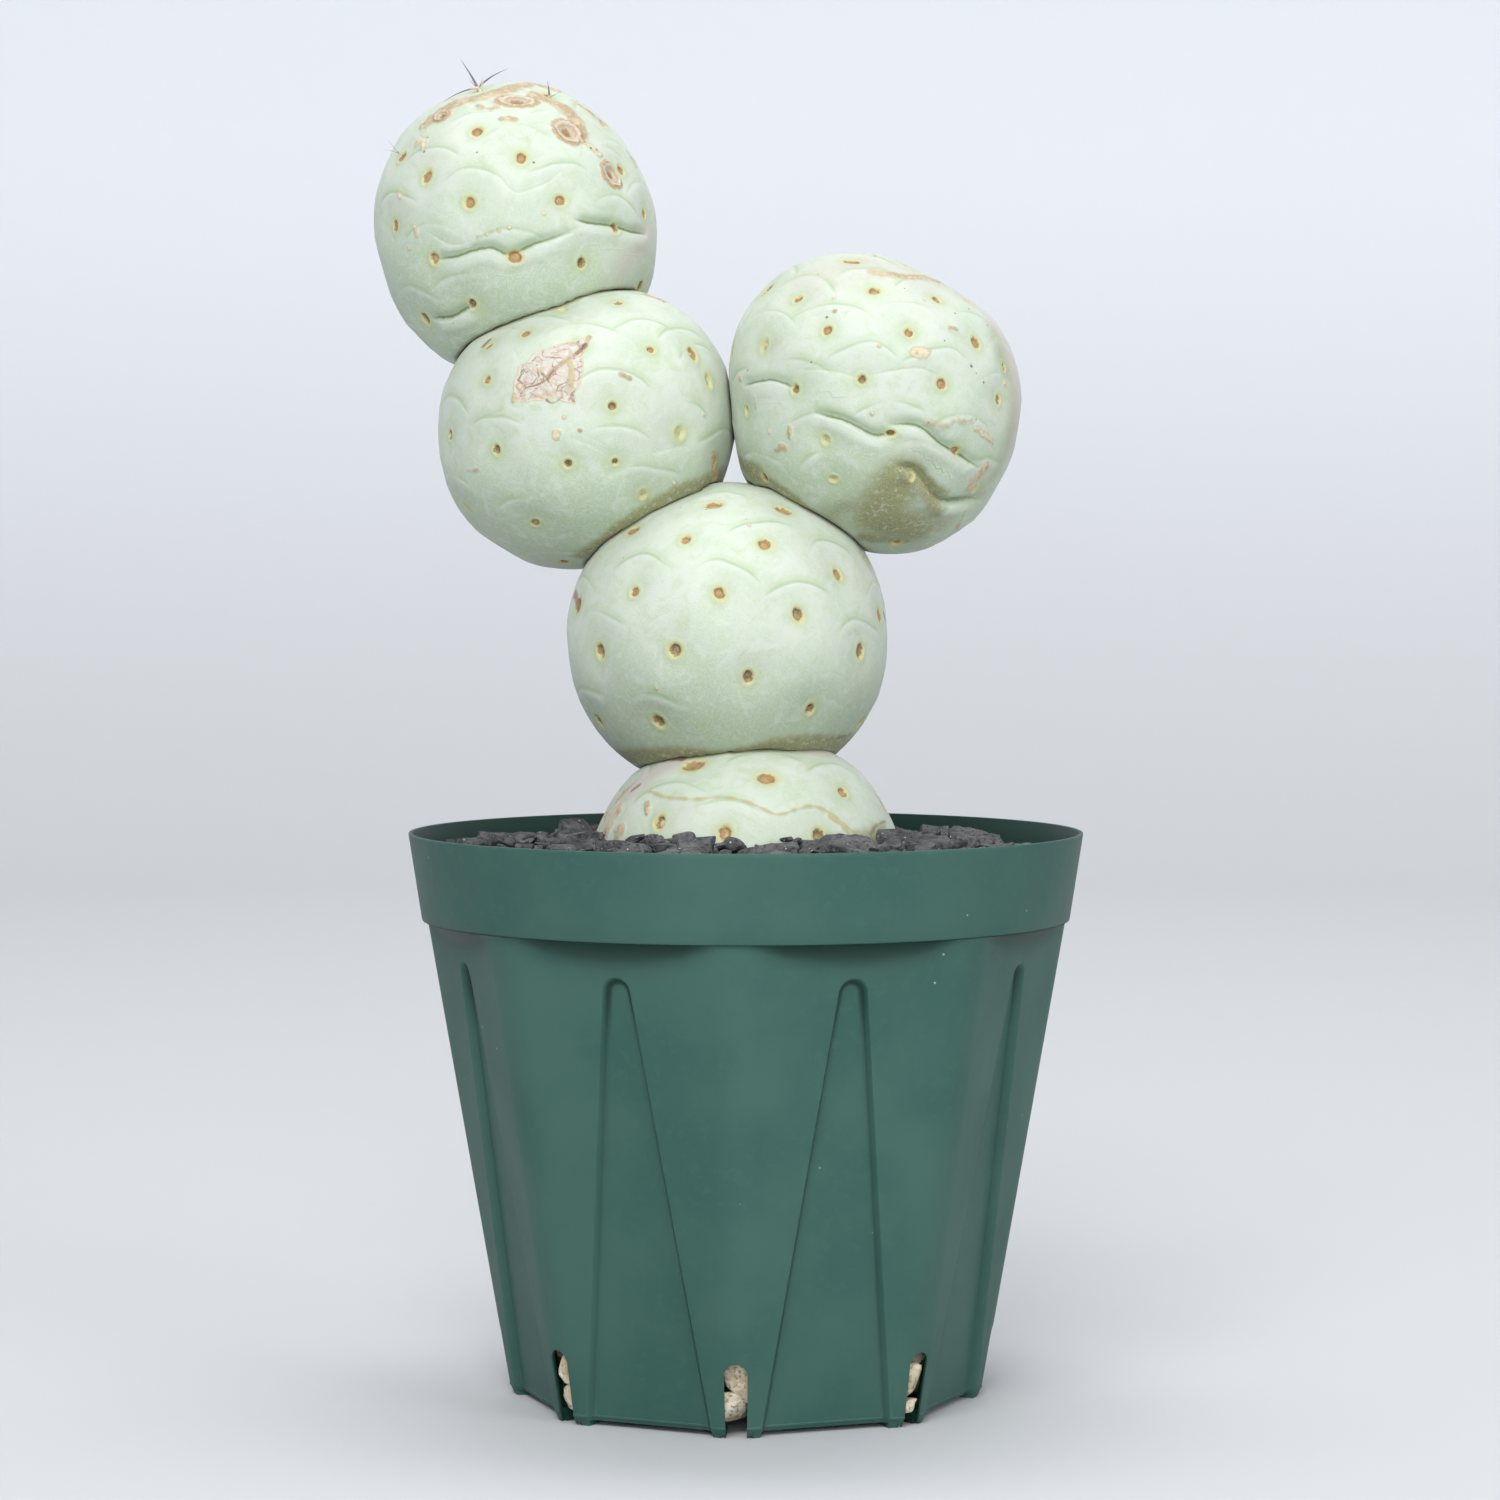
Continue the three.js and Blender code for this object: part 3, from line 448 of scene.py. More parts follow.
@dataclass(frozen=True)
class CactusSkin(Finish):
    """Living cactus epidermis under a powdery wax bloom.

    The bloom makes it pale, matt and a little milky. It is greener where the bloom is rubbed off
    or thin and round the areoles. Low on each segment it is greener, partly for thinner bloom and
    partly as painted shade, and its pits darken there as painted shade. Shade is also painted above
    each fold, in its crease, along the net lines and at the seams, and highlights are painted on
    the folds' lower lips and the net's crests. Old scars heal to tan cork.
    """

    name: str = "cactus_epidermis_waxy"
    ground: str = "#AEBBA6"
    bloom: str = "#BDC4B9"
    shade_green: str = "#94A88A"
    crease: str = "#5A6B3E"
    halo: str = "#A1B089"
    yellow: str = "#BDB57C"
    pit: str = "#8F7D58"
    dark: str = "#43362A"
    umber: str = "#7C6043"
    orange: str = "#A4875B"
    cream: str = "#C3B89C"
    cork: str = "#A38B68"
    paper: str = "#BBB2A9"
    crack: str = "#745640"
    soil: str = "#87875C"
    moss: str = "#696A43"
    wax: str = "#A89C68"
    blush: str = "#B3ABA4"
    fleck: str = "#463D33"
    roughness: float = 0.6
    attributes: ClassVar = (
        "areole", "halo", "pad", "ringed", "faint", "net", "crest", "net_shade", "fold",
        "fold_strength", "low", "seam_shade", "cork", "scab", "paper", "stain", "soil", "blush", "wax",
        "fleck",
    )
    textures: ClassVar = (
        Texture("patches", 16, 3), Texture("mottle", 9, 4), Texture("streaks", 4.5, 3, 1.2),
        Texture("wrinkles", 3.6, 2, 0.7), Texture("fine", 1.1, 3), Texture("grain", 0.4),
        Texture("speck", 3.2, cells="Distance"), Texture("speck_pick", 3.2, cells="Color"),
    )
    sums: ClassVar = (
        Sum("ragged", "fine", 1.0, -0.5),
        Sum("distance", "ragged", 1.5, "areole"),
        Sum("fold_line", "ragged", 0.5, "fold"),
        Sum("crust", "cork", "fine", 0.0),
        Sum("height", "crust", 3.0, "grain"),
    )
    bump: ClassVar = ("height", 0.5, 0.14)
    gloss: ClassVar = (("IOR", 1.42), ("Sheen Weight", 0.12), ("Sheen Roughness", 0.5))
    coats: ClassVar = (
        coat("bloom", ("mottle", 0.3, 0.7, 0.8)),
        coat("blush", ("patches", 0.55, 0.75, 0.25)),
        # Greener low on each segment: partly thinner bloom, partly painted shade.
        coat("shade_green", ("low", 0, 1, 0.75)),
        coat("halo", ("streaks", 0.5, 0.72, 0.45)),
        coat("bloom", ("streaks", 0.48, 0.3, 0.5)),
        coat("bloom", ("grain", 0.4, 0.62, 0.35)),
        coat("bloom", ("fine", 0.52, 0.7, 0.35)),
        coat("blush", ("blush", 0.05, 1, 0.7)),
        coat("halo", ("halo", 0.05, 1, 0.65)),
        # Painted highlight on the net's crests in the bloom's tone, and painted shade in the band
        # above each net line and along the line.
        coat("bloom", ("crest", 0.05, 1, 0.45)),
        coat("halo", ("net_shade", 0.05, 1, 0.35)),
        coat("shade_green", ("net", 0.15, 0.8, 0.65)),
        # Painted shade above each fold and in its crease, and a painted highlight on its lower lip
        # in the bloom's tone.
        coat(
            "shade_green", ("fold_line", -0.1, 0.3), ("fold_line", 3.2, 0.8),
            ("fold_strength", 0, 1, 0.6),
        ),
        coat(
            "bloom", ("fold_line", -3.8, -1.8), ("fold_line", -0.1, -0.7),
            ("fold_strength", 0, 1, 0.5),
        ),
        coat(
            "crease", ("fold_line", -0.3, 0), ("fold_line", 0.6, 0.15),
            ("fold_strength", 0, 1, 0.85),
        ),
        # Painted shade, in the soil's tone, along the seams where segments touch.
        coat("soil", ("seam_shade", 0.4, 1, 0.65)),
        coat("soil", ("soil", 0.02, 0.9, 0.85)),
        coat("moss", ("soil", 0.1, 0.9, 0.5), ("grain", 0.45, 0.6)),
        coat("bloom", ("soil", 0.2, 0.9, 0.35), ("fine", 0.54, 0.66)),
        coat("yellow", ("distance", 3, 1.3, 0.3), ("ringed", 1, 0)),
        coat(
            "yellow", ("distance", 1.1, 1.4, 0.75), ("distance", 2.3, 1.5), ("fine", 0.35, 0.55),
            ("ringed", 1, 0),
        ),
        coat("pit", ("distance", 1.5, 1.15, 0.95), ("faint", 0.9, 0.2)),
        coat("yellow", ("distance", 1.6, 0.6, 0.35), ("faint", 0.5, 1)),
        coat("pit", ("distance", 0.8, 0.4, 0.4), ("faint", 0.5, 1)),
        coat("umber", ("distance", 0.5, 0.9), ("distance", 1.4, 1.1), ("faint", 1, 0, 0.45)),
        # Painted shade: the floors of plain pits grow dark low on the segment.
        coat(
            "dark", ("distance", 1.2, 0.5), ("pad", 0.6, 0.1), ("faint", 0.6, 0.1),
            ("low", 0, 0.85, 0.85), ("fine", 0.4, 0.54),
        ),
        coat("cream", ("distance", 1.5, 1.15, 0.4), ("grain", 0.56, 0.64), ("faint", 0.6, 0.1)),
        coat("orange", ("distance", 1.5, 1.15), ("pad", 0, 1)),
        coat("umber", ("distance", 0.55, 0.95), ("distance", 1.5, 1.1), ("pad", 0, 1, 0.45)),
        coat("dark", ("distance", 1.2, 0.7), ("pad", 0, 1, 0.35), ("fine", 0.42, 0.34)),
        coat("cream", ("distance", 1.3, 0.8), ("pad", 0, 1, 0.5), ("fine", 0.55, 0.7)),
        coat("wax", ("paper", 0.05, 0.3, 0.8)),
        coat("cream", ("paper", 0.2, 0.45)),
        coat("paper", ("paper", 0.5, 0.8)),
        coat("cork", ("paper", 0.4, 0.7, 0.4), ("streaks", 0.48, 0.62)),
        coat("bloom", ("paper", 0.3, 0.7, 0.7), ("fine", 0.5, 0.6)),
        coat(
            "crack", ("paper", 0.4, 0.7, 0.75), ("wrinkles", 0.478, 0.5), ("wrinkles", 0.522, 0.5)
        ),
        coat("wax", ("wax", 0.1, 0.9, 0.75)),
        coat("cork", ("cork", 0.03, 0.8, 0.9), ("fine", 0.34, 0.42)),
        coat("cream", ("cork", 0.3, 0.8, 0.6), ("streaks", 0.48, 0.6)),
        coat("cream", ("cork", 0.3, 0.8, 0.4), ("fine", 0.52, 0.66)),
        coat("umber", ("cork", 0.2, 0.9, 0.4), ("fine", 0.44, 0.34)),
        coat("blush", ("distance", 3.4, 2.8), ("ringed", 0, 1, 0.75)),
        coat("cream", ("distance", 3.4, 2.8), ("ringed", 0, 1, 0.6), ("fine", 0.44, 0.58)),
        coat("umber", ("distance", 2.4, 1.8), ("ringed", 0, 1, 0.15)),
        coat("cork", ("distance", 1.5, 1.9), ("distance", 2.6, 2.1), ("ringed", 0, 1, 0.8)),
        coat("cork", ("distance", 2.8, 3.2), ("distance", 4.4, 3.7), ("ringed", 0, 1, 0.9)),
        coat(
            "umber", ("distance", 3.0, 3.2), ("distance", 3.6, 3.4), ("ringed", 0, 1, 0.5),
            ("fine", 0.4, 0.6),
        ),
        coat("orange", ("distance", 1.3, 1), ("ringed", 0, 1, 0.9)),
        coat("umber", ("distance", 1.3, 0.5), ("ringed", 0, 1, 0.8)),
        coat("umber", ("stain", 0.1, 0.8, 0.85)),
        coat("cork", ("scab", 0.05, 0.5, 0.6)),
        coat("cream", ("scab", 0.35, 0.75), ("fine", 0.3, 0.5)),
        coat("fleck", ("fleck", 0.3, 0.8, 0.8)),
        coat(
            "cork", ("speck", 0.11, 0.05), ("speck_pick", 0.62, 0.66), ("mottle", 0.45, 0.65, 0.6)
        ),
    )


@dataclass(frozen=True)
class PotPlastic(Finish):
    """Moulded polypropylene, dark green, with a soft sheen, faint mottling and specks of dust.

    Shade is painted on it: inside, in the slits, in the recess pockets and, as a painted shadow,
    under the band.
    """

    name: str = "polypropylene_moulded_green"
    ground: str = "#2D524A"
    worn: str = "#375950"
    dust: str = "#8DA39A"
    painted_shade: str = "#17342D"
    roughness: float = 0.54
    attributes: ClassVar = ("shade",)
    textures: ClassVar = (
        Texture("clouds", 26, 5), Texture("grain", 0.5), Texture("scuff", 2.2, 4, 0.4),
        Texture("speck", 7.5, cells="Distance"), Texture("speck_pick", 7.5, cells="Color"),
    )
    bump: ClassVar = ("grain", 0.12, 0.05)
    gloss: ClassVar = (("IOR", 1.49), ("Specular IOR Level", 0.3))
    coats: ClassVar = (
        coat("worn", ("clouds", 0.35, 0.7)),
        coat("worn", ("scuff", 0.52, 0.68, 0.5)),
        # Painted shade inside the pot, in the slits, in the recess pockets and under the band.
        coat("painted_shade", ("shade", 0, 1)),
        coat("dust", ("speck", 0.045, 0.02), ("speck_pick", 0.5, 0.8)),
    )


@dataclass(frozen=True)
class Rock(Finish):
    """Broken mineral: matt and porous, in two tones, with dark pores and specks."""

    name: str = "lava_rock_dark"
    ground: str = "#343536"
    other: str = "#606162"
    pores: str = "#1E1E20"
    speck_tone: str = "#B9B6B0"
    roughness: float = 0.92
    patch: float = 5.0
    pore: float = 0.9
    pore_depth: float = 0.8
    speck_spacing: float = 1.6
    coats: ClassVar = (
        coat("other", ("patch", 0.3, 0.7)),
        coat("other", ("crumb", 0.5, 0.62, 0.5)),
        coat("pores", ("pore", 0.46, 0.36, 0.7)),
        coat("speck_tone", ("speck", 0.17, 0.08), ("speck_pick", 0.5, 0.7)),
    )

    @property
    def textures(self) -> tuple[Texture, ...]:
        """The rock's patterns, from its own sizes.

        Returns:
            The patterns.
        """
        return (
            Texture("patch", self.patch, 6), Texture("pore", self.pore, 4),
            Texture("crumb", self.pore * 2.2, 3),
            Texture("speck", self.speck_spacing, cells="Distance"),
            Texture("speck_pick", self.speck_spacing, cells="Color"),
        )

    @property
    def bump(self) -> tuple[str, float, float]:
        """The pores, sunk to their own depth."""
        return ("pore", 0.8, self.pore_depth)


@dataclass(frozen=True)
class SpineHorn(Finish):
    """Dry spine: grey-brown horn, paler towards its woolly foot."""

    name: str = "spine_horn_grey"
    ground: str = "#D9CDB4"
    horn: str = "#6B6266"
    roughness: float = 0.5
    attributes: ClassVar = ("along",)
    textures: ClassVar = (Texture("streaks", 0.8),)
    sums: ClassVar = (Sum("age", "streaks", 0.5, "along"),)
    coats: ClassVar = (coat("horn", ("age", 0.25, 0.6)),)


@dataclass(frozen=True)
class StudioPaint(Finish):
    """Plain matt paint of the studio, not part of the object. The wall is paler than the floor."""

    name: str = "studio_paint_pale"
    ground: str = "#BEC0C2"
    wall: str = "#D6D9DE"
    roughness: float = 0.9
    attributes: ClassVar = ("height",)
    coats: ClassVar = (coat("wall", ("height", 0, 0.5)),)


class AreoleKind(Enum):
    """How an areole looks: the sunken spot that spines grow from."""

    PIT = "deep, with a brown floor and a yellow rim"
    PAD = "shallow, filled with an orange rust pad"
    RINGED = "old, in a broad cream ring with a cork edge"
    FAINT = "hardly open, yellowish"


class MarkKind(Enum):
    """What a mark on the skin is. The value is the attribute that its material reads."""

    CORK = "cork"
    SCAB = "scab"
    PAPER = "paper"
    STAIN = "stain"
    SOIL = "soil"
    BLUSH = "blush"
    WAX = "wax"
    FLECK = "fleck"


@dataclass(frozen=True)
class Areole:
    """One areole, as its place right and up of the segment's middle as seen."""

    x: float
    z: float
    kind: AreoleKind = AreoleKind.PIT
    size: float = 1.0
    tall: float = 1.25
    lean: float = 0.0


@dataclass(frozen=True)
class Fold:
    """A fold or crease along a path on the skin, as seen, from left to right."""

    path: tuple[Pair, ...]
    depth: float


@dataclass(frozen=True)
class Mark:
    """A scar, stain or patch along a path on the skin, or filling it, as seen."""

    kind: MarkKind
    path: tuple[Pair, ...]
    width: float
    soft: float = 0.5
    strength: float = 1.0
    filled: bool = False


@dataclass(frozen=True)
class Relief:
    """Depths, widths and chances of what shapes the skin of every segment.

    Each band of the net is named with how far above its line it lies, and how wide it is.
    """

    pit_depth: float = 1.05
    pad_depth: float = 0.5
    pit_inner: float = 0.85
    pit_outer: float = 1.5
    dimple_depth: float = 0.7
    dimple_radius: float = 4.5
    rim_height: float = 0.15
    rim_radius: float = 2.1
    ring_height: float = 0.5
    ring_radius: float = 3.0
    net_depth: float = 0.06
    # Only the net and crest bands add height; the band above each line only carries painted shade.
    net_bands: ClassVar = {"net": (0.0, 0.45), "crest": (-1.1, 1.0), "net_shade": (0.8, 0.9)}
    ridge_height: float = 0.13
    net_wander: float = 1.6
    net_ripple: float = 0.35
    arch_height: float = 7.6
    arch_bend: float = 0.045
    arch_end: float = 10.0
    arch_full: float = 5.5
    arch_reach: float = 0.8
    net_wander_size: float = 12.0
    net_ripple_size: float = 4.5
    net_patch_size: float = 13.0
    net_clear: Pair = (2.2, 4.5)
    hidden: ClassVar = {"size": (0.75, 1.15), "tall": (1.1, 1.4), "lean": (-40, 40)}
    old_from: float = 0.62
    pad_chance: float = 0.6
    floor_dent: float = 0.2
    floor_radius: float = 0.5
    rim_width: float = 0.6
    ring_width: float = 0.7
    paper_sink: float = 0.15
    cork_size: float = 0.9
    fray_size: float = 1.6
    fold_reach: float = 5.0
    fold_full_depth: float = 1.2
    fold_above: float = 1.3
    fold_below: float = 0.35
    fold_share: float = 0.6
    lower_lip: float = 0.5
    lip_offset: float = 2.0
    lip_width: float = 1.7
    fold_end_share: float = 0.35
    fold_fade: float = 6.0
    swell: float = 0.3
    swell_size: float = 16.0
    ripple: float = 0.07
    ripple_size: float = 5.0
    pebble: float = 0.04
    pebble_size: float = 1.6
    wax_height: float = 0.28
    cork_height: float = 0.3
    areole_spacing: float = 16.3
    hex_cell_share: float = 0.866
    clear_share: float = 0.72
    seen_from: float = 0.5
    push_rounds: int = 12
    push_reach: float = 1.1
    push: float = 0.12


RELIEF = Relief()


@dataclass
class StemSegment:
    """One ball-shaped segment of the stem, with its own outline, areoles, folds and marks."""

    name: str
    replaced: str
    centre: Triple
    outline: tuple[float, ...]
    areoles: tuple[Areole, ...]
    folds: tuple[Fold, ...] = ()
    marks: tuple[Mark, ...] = ()
    bare_below: float | None = None
    seed: float = 0.0
    fineness: int = 6
    curve_steps: int = 4
    most_fray: float = 0.7
    seat_gap: float = 0.12
    seat_softness: float = 0.9
    seat_reach: float = 1.3
    seat_tries: tuple[float, float, int] = (0.45, 1.0, 12)
    seat_step: float = 0.06
    seat_halvings: int = 14
    no_seat: float = 1000.0
    close_share: float = 0.4
    edge_share: float = 0.995
    # How far the painted shade at a seam reaches from a touching segment.
    seam_reach: float = 1.2
    halo_radius: float = 3.3
    # Where the greener, painted shade low on the segment starts and ends, and how its edge sways.
    low_from: float = 0.35
    low_to: float = -0.85
    low_sway: float = 0.12
    low_sway_size: float = 12.0
    detail_at_areole: float = 2.0
    detail_at_net: float = 0.12
    detail_at_fold: float = 1.8
    detail_at_mark: float = 0.4
    detail_margins: tuple[float, ...] = (1.2, 0.25)

    def __post_init__(self) -> None:
        """Works out the view of the segment and the places of its areoles."""
        self.middle = np.array(self.centre)
        self.radius = float(np.mean(self.outline))
        self.near = unit(EYE - self.middle)
        self.right = unit(np.cross([0.0, 0.0, 1.0], self.near))
        self.up = np.cross(self.near, self.right)
        self.pits, self.pit_facts = self.place_areoles()

    def seen_direction(self, x: float, z: float, on_outline: bool = False) -> Array:
        """Direction of a point that the viewer sees on the segment.

        Args:
            x: how far right of the middle it is seen.
            z: how far above the middle it is seen.
            on_outline: whether it lies at the outline's radius there, not at the mean one.

        Returns:
            The direction from the segment's middle.
        """
        radius = self.radius
        if on_outline:
            radius = self.outline_radius(np.array([math.atan2(x, z)]))[0]
        out = min(math.hypot(x, z) / radius, self.edge_share)
        angle = math.atan2(x, z)
        seen = self.right * out * math.sin(angle) + self.up * out * math.cos(angle)
        return unit(seen + self.near * math.sqrt(1 - out * out))

    def outline_radius(self, angles: Array) -> Array:
        """Radius of the outline, by a smooth curve through its points.

        Args:
            angles: angles clockwise from the top as seen, in radians.

        Returns:
            One radius for each angle.
        """
        ring = np.array(self.outline)
        count = len(ring)
        place = np.mod(angles / TURN, 1) * count
        i = np.floor(place).astype(int)
        t = place - i
        return curve_between([ring[(i + step) % count] for step in (-1, 0, 1, 2)], t)

    def body_radius(self, ways: Array) -> Array:
        """Radius of the smooth body, its outline turned round its upright axis.

        Args:
            ways: directions from the middle, one a row.

        Returns:
            One radius for each direction.
        """
        u, v, w = (ways @ axis for axis in (self.right, self.up, self.near))
        polar = np.arccos(np.clip(v, -1, 1))
        on_right = self.outline_radius(polar)
        on_left = self.outline_radius(-polar)
        side = u / np.maximum(np.hypot(u, w), 1e-6)
        return (on_right + on_left + (on_right - on_left) * side) / 2

    def place_areoles(self) -> tuple[Array, dict[str, Array]]:
        """Places the seen areoles, and evens out a spiral of others where nothing is seen.

        Returns:
            Their directions, and for each its size, height, lean and kind.
        """
        seen = np.array([self.seen_direction(a.x, a.z) for a in self.areoles])
        cell = RELIEF.hex_cell_share * RELIEF.areole_spacing**2
        count = round(2 * TURN * self.radius**2 / cell)
        i = np.arange(count)
        height = 1 - (2 * i + 1) / count
        ring = np.sqrt(1 - height**2)
        spiral = (
            height[:, None] * self.up
            + (ring * np.cos(i * GOLDEN_ANGLE))[:, None] * self.right
            + (ring * np.sin(i * GOLDEN_ANGLE))[:, None] * self.near
        )
        gaps = np.arccos(np.clip(spiral @ seen.T, -1, 1)) * self.radius
        keep = (gaps > RELIEF.clear_share * RELIEF.areole_spacing).all(axis=1)
        keep &= spiral @ self.near < RELIEF.seen_from
        if self.bare_below is not None:
            keep &= height * self.radius >= self.bare_below
        free = spiral[keep]
        reach = RELIEF.push_reach * RELIEF.areole_spacing
        for _ in range(RELIEF.push_rounds):
            everyone = np.vstack([seen, free])
            apart = free[:, None, :] - everyone[None, :, :]
            gap = np.linalg.norm(apart, axis=2) * self.radius
            close = (gap > 1e-4) & (gap < reach)
            push = np.where(close, RELIEF.push * (reach / np.maximum(gap, 1e-4) - 1), 0)
            free = unit(free + (apart * push[:, :, None]).sum(axis=1))
        random = np.random.default_rng(int(self.seed * 10) + 3)
        facts = {
            name: np.r_[[getattr(a, name) for a in self.areoles], random.uniform(*span, len(free))]
            for name, span in RELIEF.hidden.items()
        }
        facts["lean"] = np.radians(facts["lean"])
        kinds = [a.kind for a in self.areoles]
        for direction in free:
            padded = direction @ self.up > RELIEF.old_from and random.random() < RELIEF.pad_chance
            kinds.append(AreoleKind.PAD if padded else AreoleKind.PIT)
        for kind in AreoleKind:
            facts[kind.name] = np.array([float(k is kind) for k in kinds])
        return np.vstack([seen, free]), facts

    def read_areoles(self, ways: Array) -> dict[str, Array]:
        """Finds the nearest areole of each direction.

        Args:
            ways: directions from the middle, one a row.

        Returns:
            The areole's number, round and oval distances to it, and how deep in the dimples and
            how near to the halos of all of them each direction is.
        """
        gaps = np.sqrt(np.maximum(2 - 2 * ways @ self.pits.T, 0)) * self.radius
        which = np.argmin(gaps, axis=1)
        first = gaps[np.arange(len(gaps)), which]
        middle = self.pits[which]
        away = (ways - middle) * self.radius
        upright = unit(self.up - (middle @ self.up)[:, None] * middle)
        sideways = np.cross(upright, middle)
        lean = self.pit_facts["lean"][which]
        along = np.cos(lean)[:, None] * upright + np.sin(lean)[:, None] * sideways
        across = np.cross(along, middle)
        tall = np.sqrt(self.pit_facts["tall"][which])
        oval = np.hypot((away * along).sum(axis=1) / tall, (away * across).sum(axis=1) * tall)
        return {
            "which": which,
            "round": first,
            "oval": oval / self.pit_facts["size"][which],
            "dent": np.exp(-((gaps / RELIEF.dimple_radius) ** 2)).sum(axis=1),
            "halo": np.minimum(np.exp(-((gaps / self.halo_radius) ** 2)).sum(axis=1), 1),
        }

    def read_net(self, ways: Array, wider: float = 0.0) -> dict[str, Array]:
        """Reads the net of fine lines on the skin: one wandering arch over each areole.

        Args:
            ways: directions from the middle, one a row.
            wider: how much wider than they are the lines are taken.

        Returns:
            From 0 to 1, how near each place is to a line, the crest below it and the band above it,
            where shade is painted.
        """
        points = ways * self.radius
        sway, rise = (
            RELIEF.net_wander * noise_at(points, RELIEF.net_wander_size, self.seed + k)
            + RELIEF.net_ripple * noise_at(points, RELIEF.net_ripple_size, self.seed + 2 * k)
            for k in (3.1, 7.7)
        )
        net = {name: np.zeros(len(points)) for name in RELIEF.net_bands}
        for number, pit in enumerate(self.pits):
            up = unit(self.up - (pit @ self.up) * pit)
            away = (ways - pit) * self.radius
            across = away @ np.cross(up, pit) + sway
            height = RELIEF.arch_height + math.sin(number * 2.4 + self.seed)
            above = away @ up + rise - height + RELIEF.arch_bend * across**2
            above /= np.sqrt(1 + (2 * RELIEF.arch_bend * across) ** 2)
            share = smooth_step(RELIEF.arch_end, RELIEF.arch_full, np.abs(across))
            share *= ways @ pit > RELIEF.arch_reach
            for name, (offset, width) in RELIEF.net_bands.items():
                band = share * np.exp(-(((above - offset) / (width + wider)) ** 2))
                net[name] = np.maximum(net[name], band)
        near = np.sqrt(np.maximum(2 - 2 * (ways @ self.pits.T).max(axis=1), 0))
        patches = noise_at(points, RELIEF.net_patch_size, self.seed + 20)
        strength = np.clip(0.7 + 1.3 * patches, 0.1, 1)
        strength *= smooth_step(*RELIEF.net_clear, near * self.radius)
        return {name: band * strength for name, band in net.items()}

    def seen_path(
        self, places: tuple[Pair, ...], on_outline: bool
    ) -> Array:
        """Directions along a smooth curve through seen places.

        Args:
            places: the places, right of and above the middle as seen.
            on_outline: whether they are placed on the outline's own radius.

        Returns:
            The directions, one a row.
        """
        drawn = np.array(places, float)
        if len(drawn) > 2:
            ends = np.vstack([2 * drawn[0] - drawn[1], drawn, 2 * drawn[-1] - drawn[-2]])
            curve = [drawn[0]]
            for i in range(len(drawn) - 1):
                for t in np.arange(1, self.curve_steps + 1) / self.curve_steps:
                    curve.append(curve_between(ends[i : i + 4], t))
            drawn = np.array(curve)
        return np.array([self.seen_direction(x, z, on_outline) for x, z in drawn.tolist()])

    def read_path(
        self, ways: Array, path: Array
    ) -> tuple[Array, Array, Array]:
        """Finds where each direction is beside a path on the skin.

        Args:
            ways: directions from the middle, one a row.
            path: directions of the path's points.

        Returns:
            The distance, how far above the path it is, and the share along the path.
        """
        best = np.full(len(ways), np.inf)
        signed = np.zeros(len(ways))
        share = np.zeros(len(ways))
        count = max(len(path) - 1, 1)
        for i in range(count):
            start = path[i]
            step = path[min(i + 1, len(path) - 1)] - start
            t = np.zeros(len(ways))
            if step @ step > 0:
                t = np.clip((ways - start) @ step / (step @ step), 0, 1)
            away = ways - (start + t[:, None] * step)
            distance = np.linalg.norm(away, axis=1) * self.radius
            closer = distance < best
            side = np.cross(start, step)
            above = away @ side / max(np.linalg.norm(side), 1e-9) * self.radius
            best = np.where(closer, distance, best)
            signed = np.where(closer, above, signed)
            share = np.where(closer, (i + t) / count, share)
        return best, signed, share

    def fold_relief(self, ways: Array) -> tuple[Array, Array, Array]:
        """Height that the folds add, and how far each direction is from the nearest one.

        The skin sinks slowly above a fold, and swells out steeply below it.

        Args:
            ways: directions from the middle, one a row.

        Returns:
            The added height, the distance, positive above the fold, and the fold's strength.
        """
        height = np.zeros(len(ways))
        reach = RELIEF.fold_reach
        nearest = np.full(len(ways), reach)
        where = np.full(len(ways), reach)
        strong = np.zeros(len(ways))
        for fold in self.folds:
            distance, above, share = self.read_path(ways, self.seen_path(fold.path, False))
            fade = np.clip(np.minimum(share, 1 - share) * RELIEF.fold_fade, 0, 1)
            strength = RELIEF.fold_end_share + (1 - RELIEF.fold_end_share) * fade
            beyond = np.sqrt(np.maximum(distance**2 - above**2, 0))
            turn = 0.5 + 0.5 * above / np.maximum(distance, 1e-6)
            width = RELIEF.fold_below + (RELIEF.fold_above - RELIEF.fold_below) * turn
            cut = np.exp(-((distance / width) ** 2))
            lip = np.exp(-(((above + RELIEF.lip_offset) / RELIEF.lip_width) ** 2))
            lip *= np.exp(-((beyond / RELIEF.lip_width) ** 2))
            depth = fold.depth * RELIEF.fold_share * strength
            height += depth * (RELIEF.lower_lip * lip - cut)
            closer = distance < nearest
            nearest = np.where(closer, distance, nearest)
            seen = strength * min(1.0, fold.depth / RELIEF.fold_full_depth) * np.exp(-(beyond**2))
            where = np.where(closer, np.clip(above, -reach, reach), where)
            strong = np.where(closer, seen, strong)
        return height, where, strong

    def gap_to(self, other: StemSegment, points: Array) -> Array:
        """How far points are outside another segment's skin, along its own radius.

        Args:
            other: the other segment.
            points: the points, one a row.

        Returns:
            One distance for each point, negative inside.
        """
        away = points - other.middle
        reach = np.linalg.norm(away, axis=1)
        gap = reach - other.radius
        close = np.abs(gap) < self.close_share * other.radius
        if close.any():
            ways = away[close] / reach[close][:, None]
            found = other.read_areoles(ways)
            shallow = smooth_step(RELIEF.pit_inner, RELIEF.pit_outer, found["oval"])
            skin = other.body_radius(ways) - RELIEF.pit_depth * (1 - shallow)
            gap[close] = reach[close] - (skin - RELIEF.dimple_depth * found["dent"])
        return gap

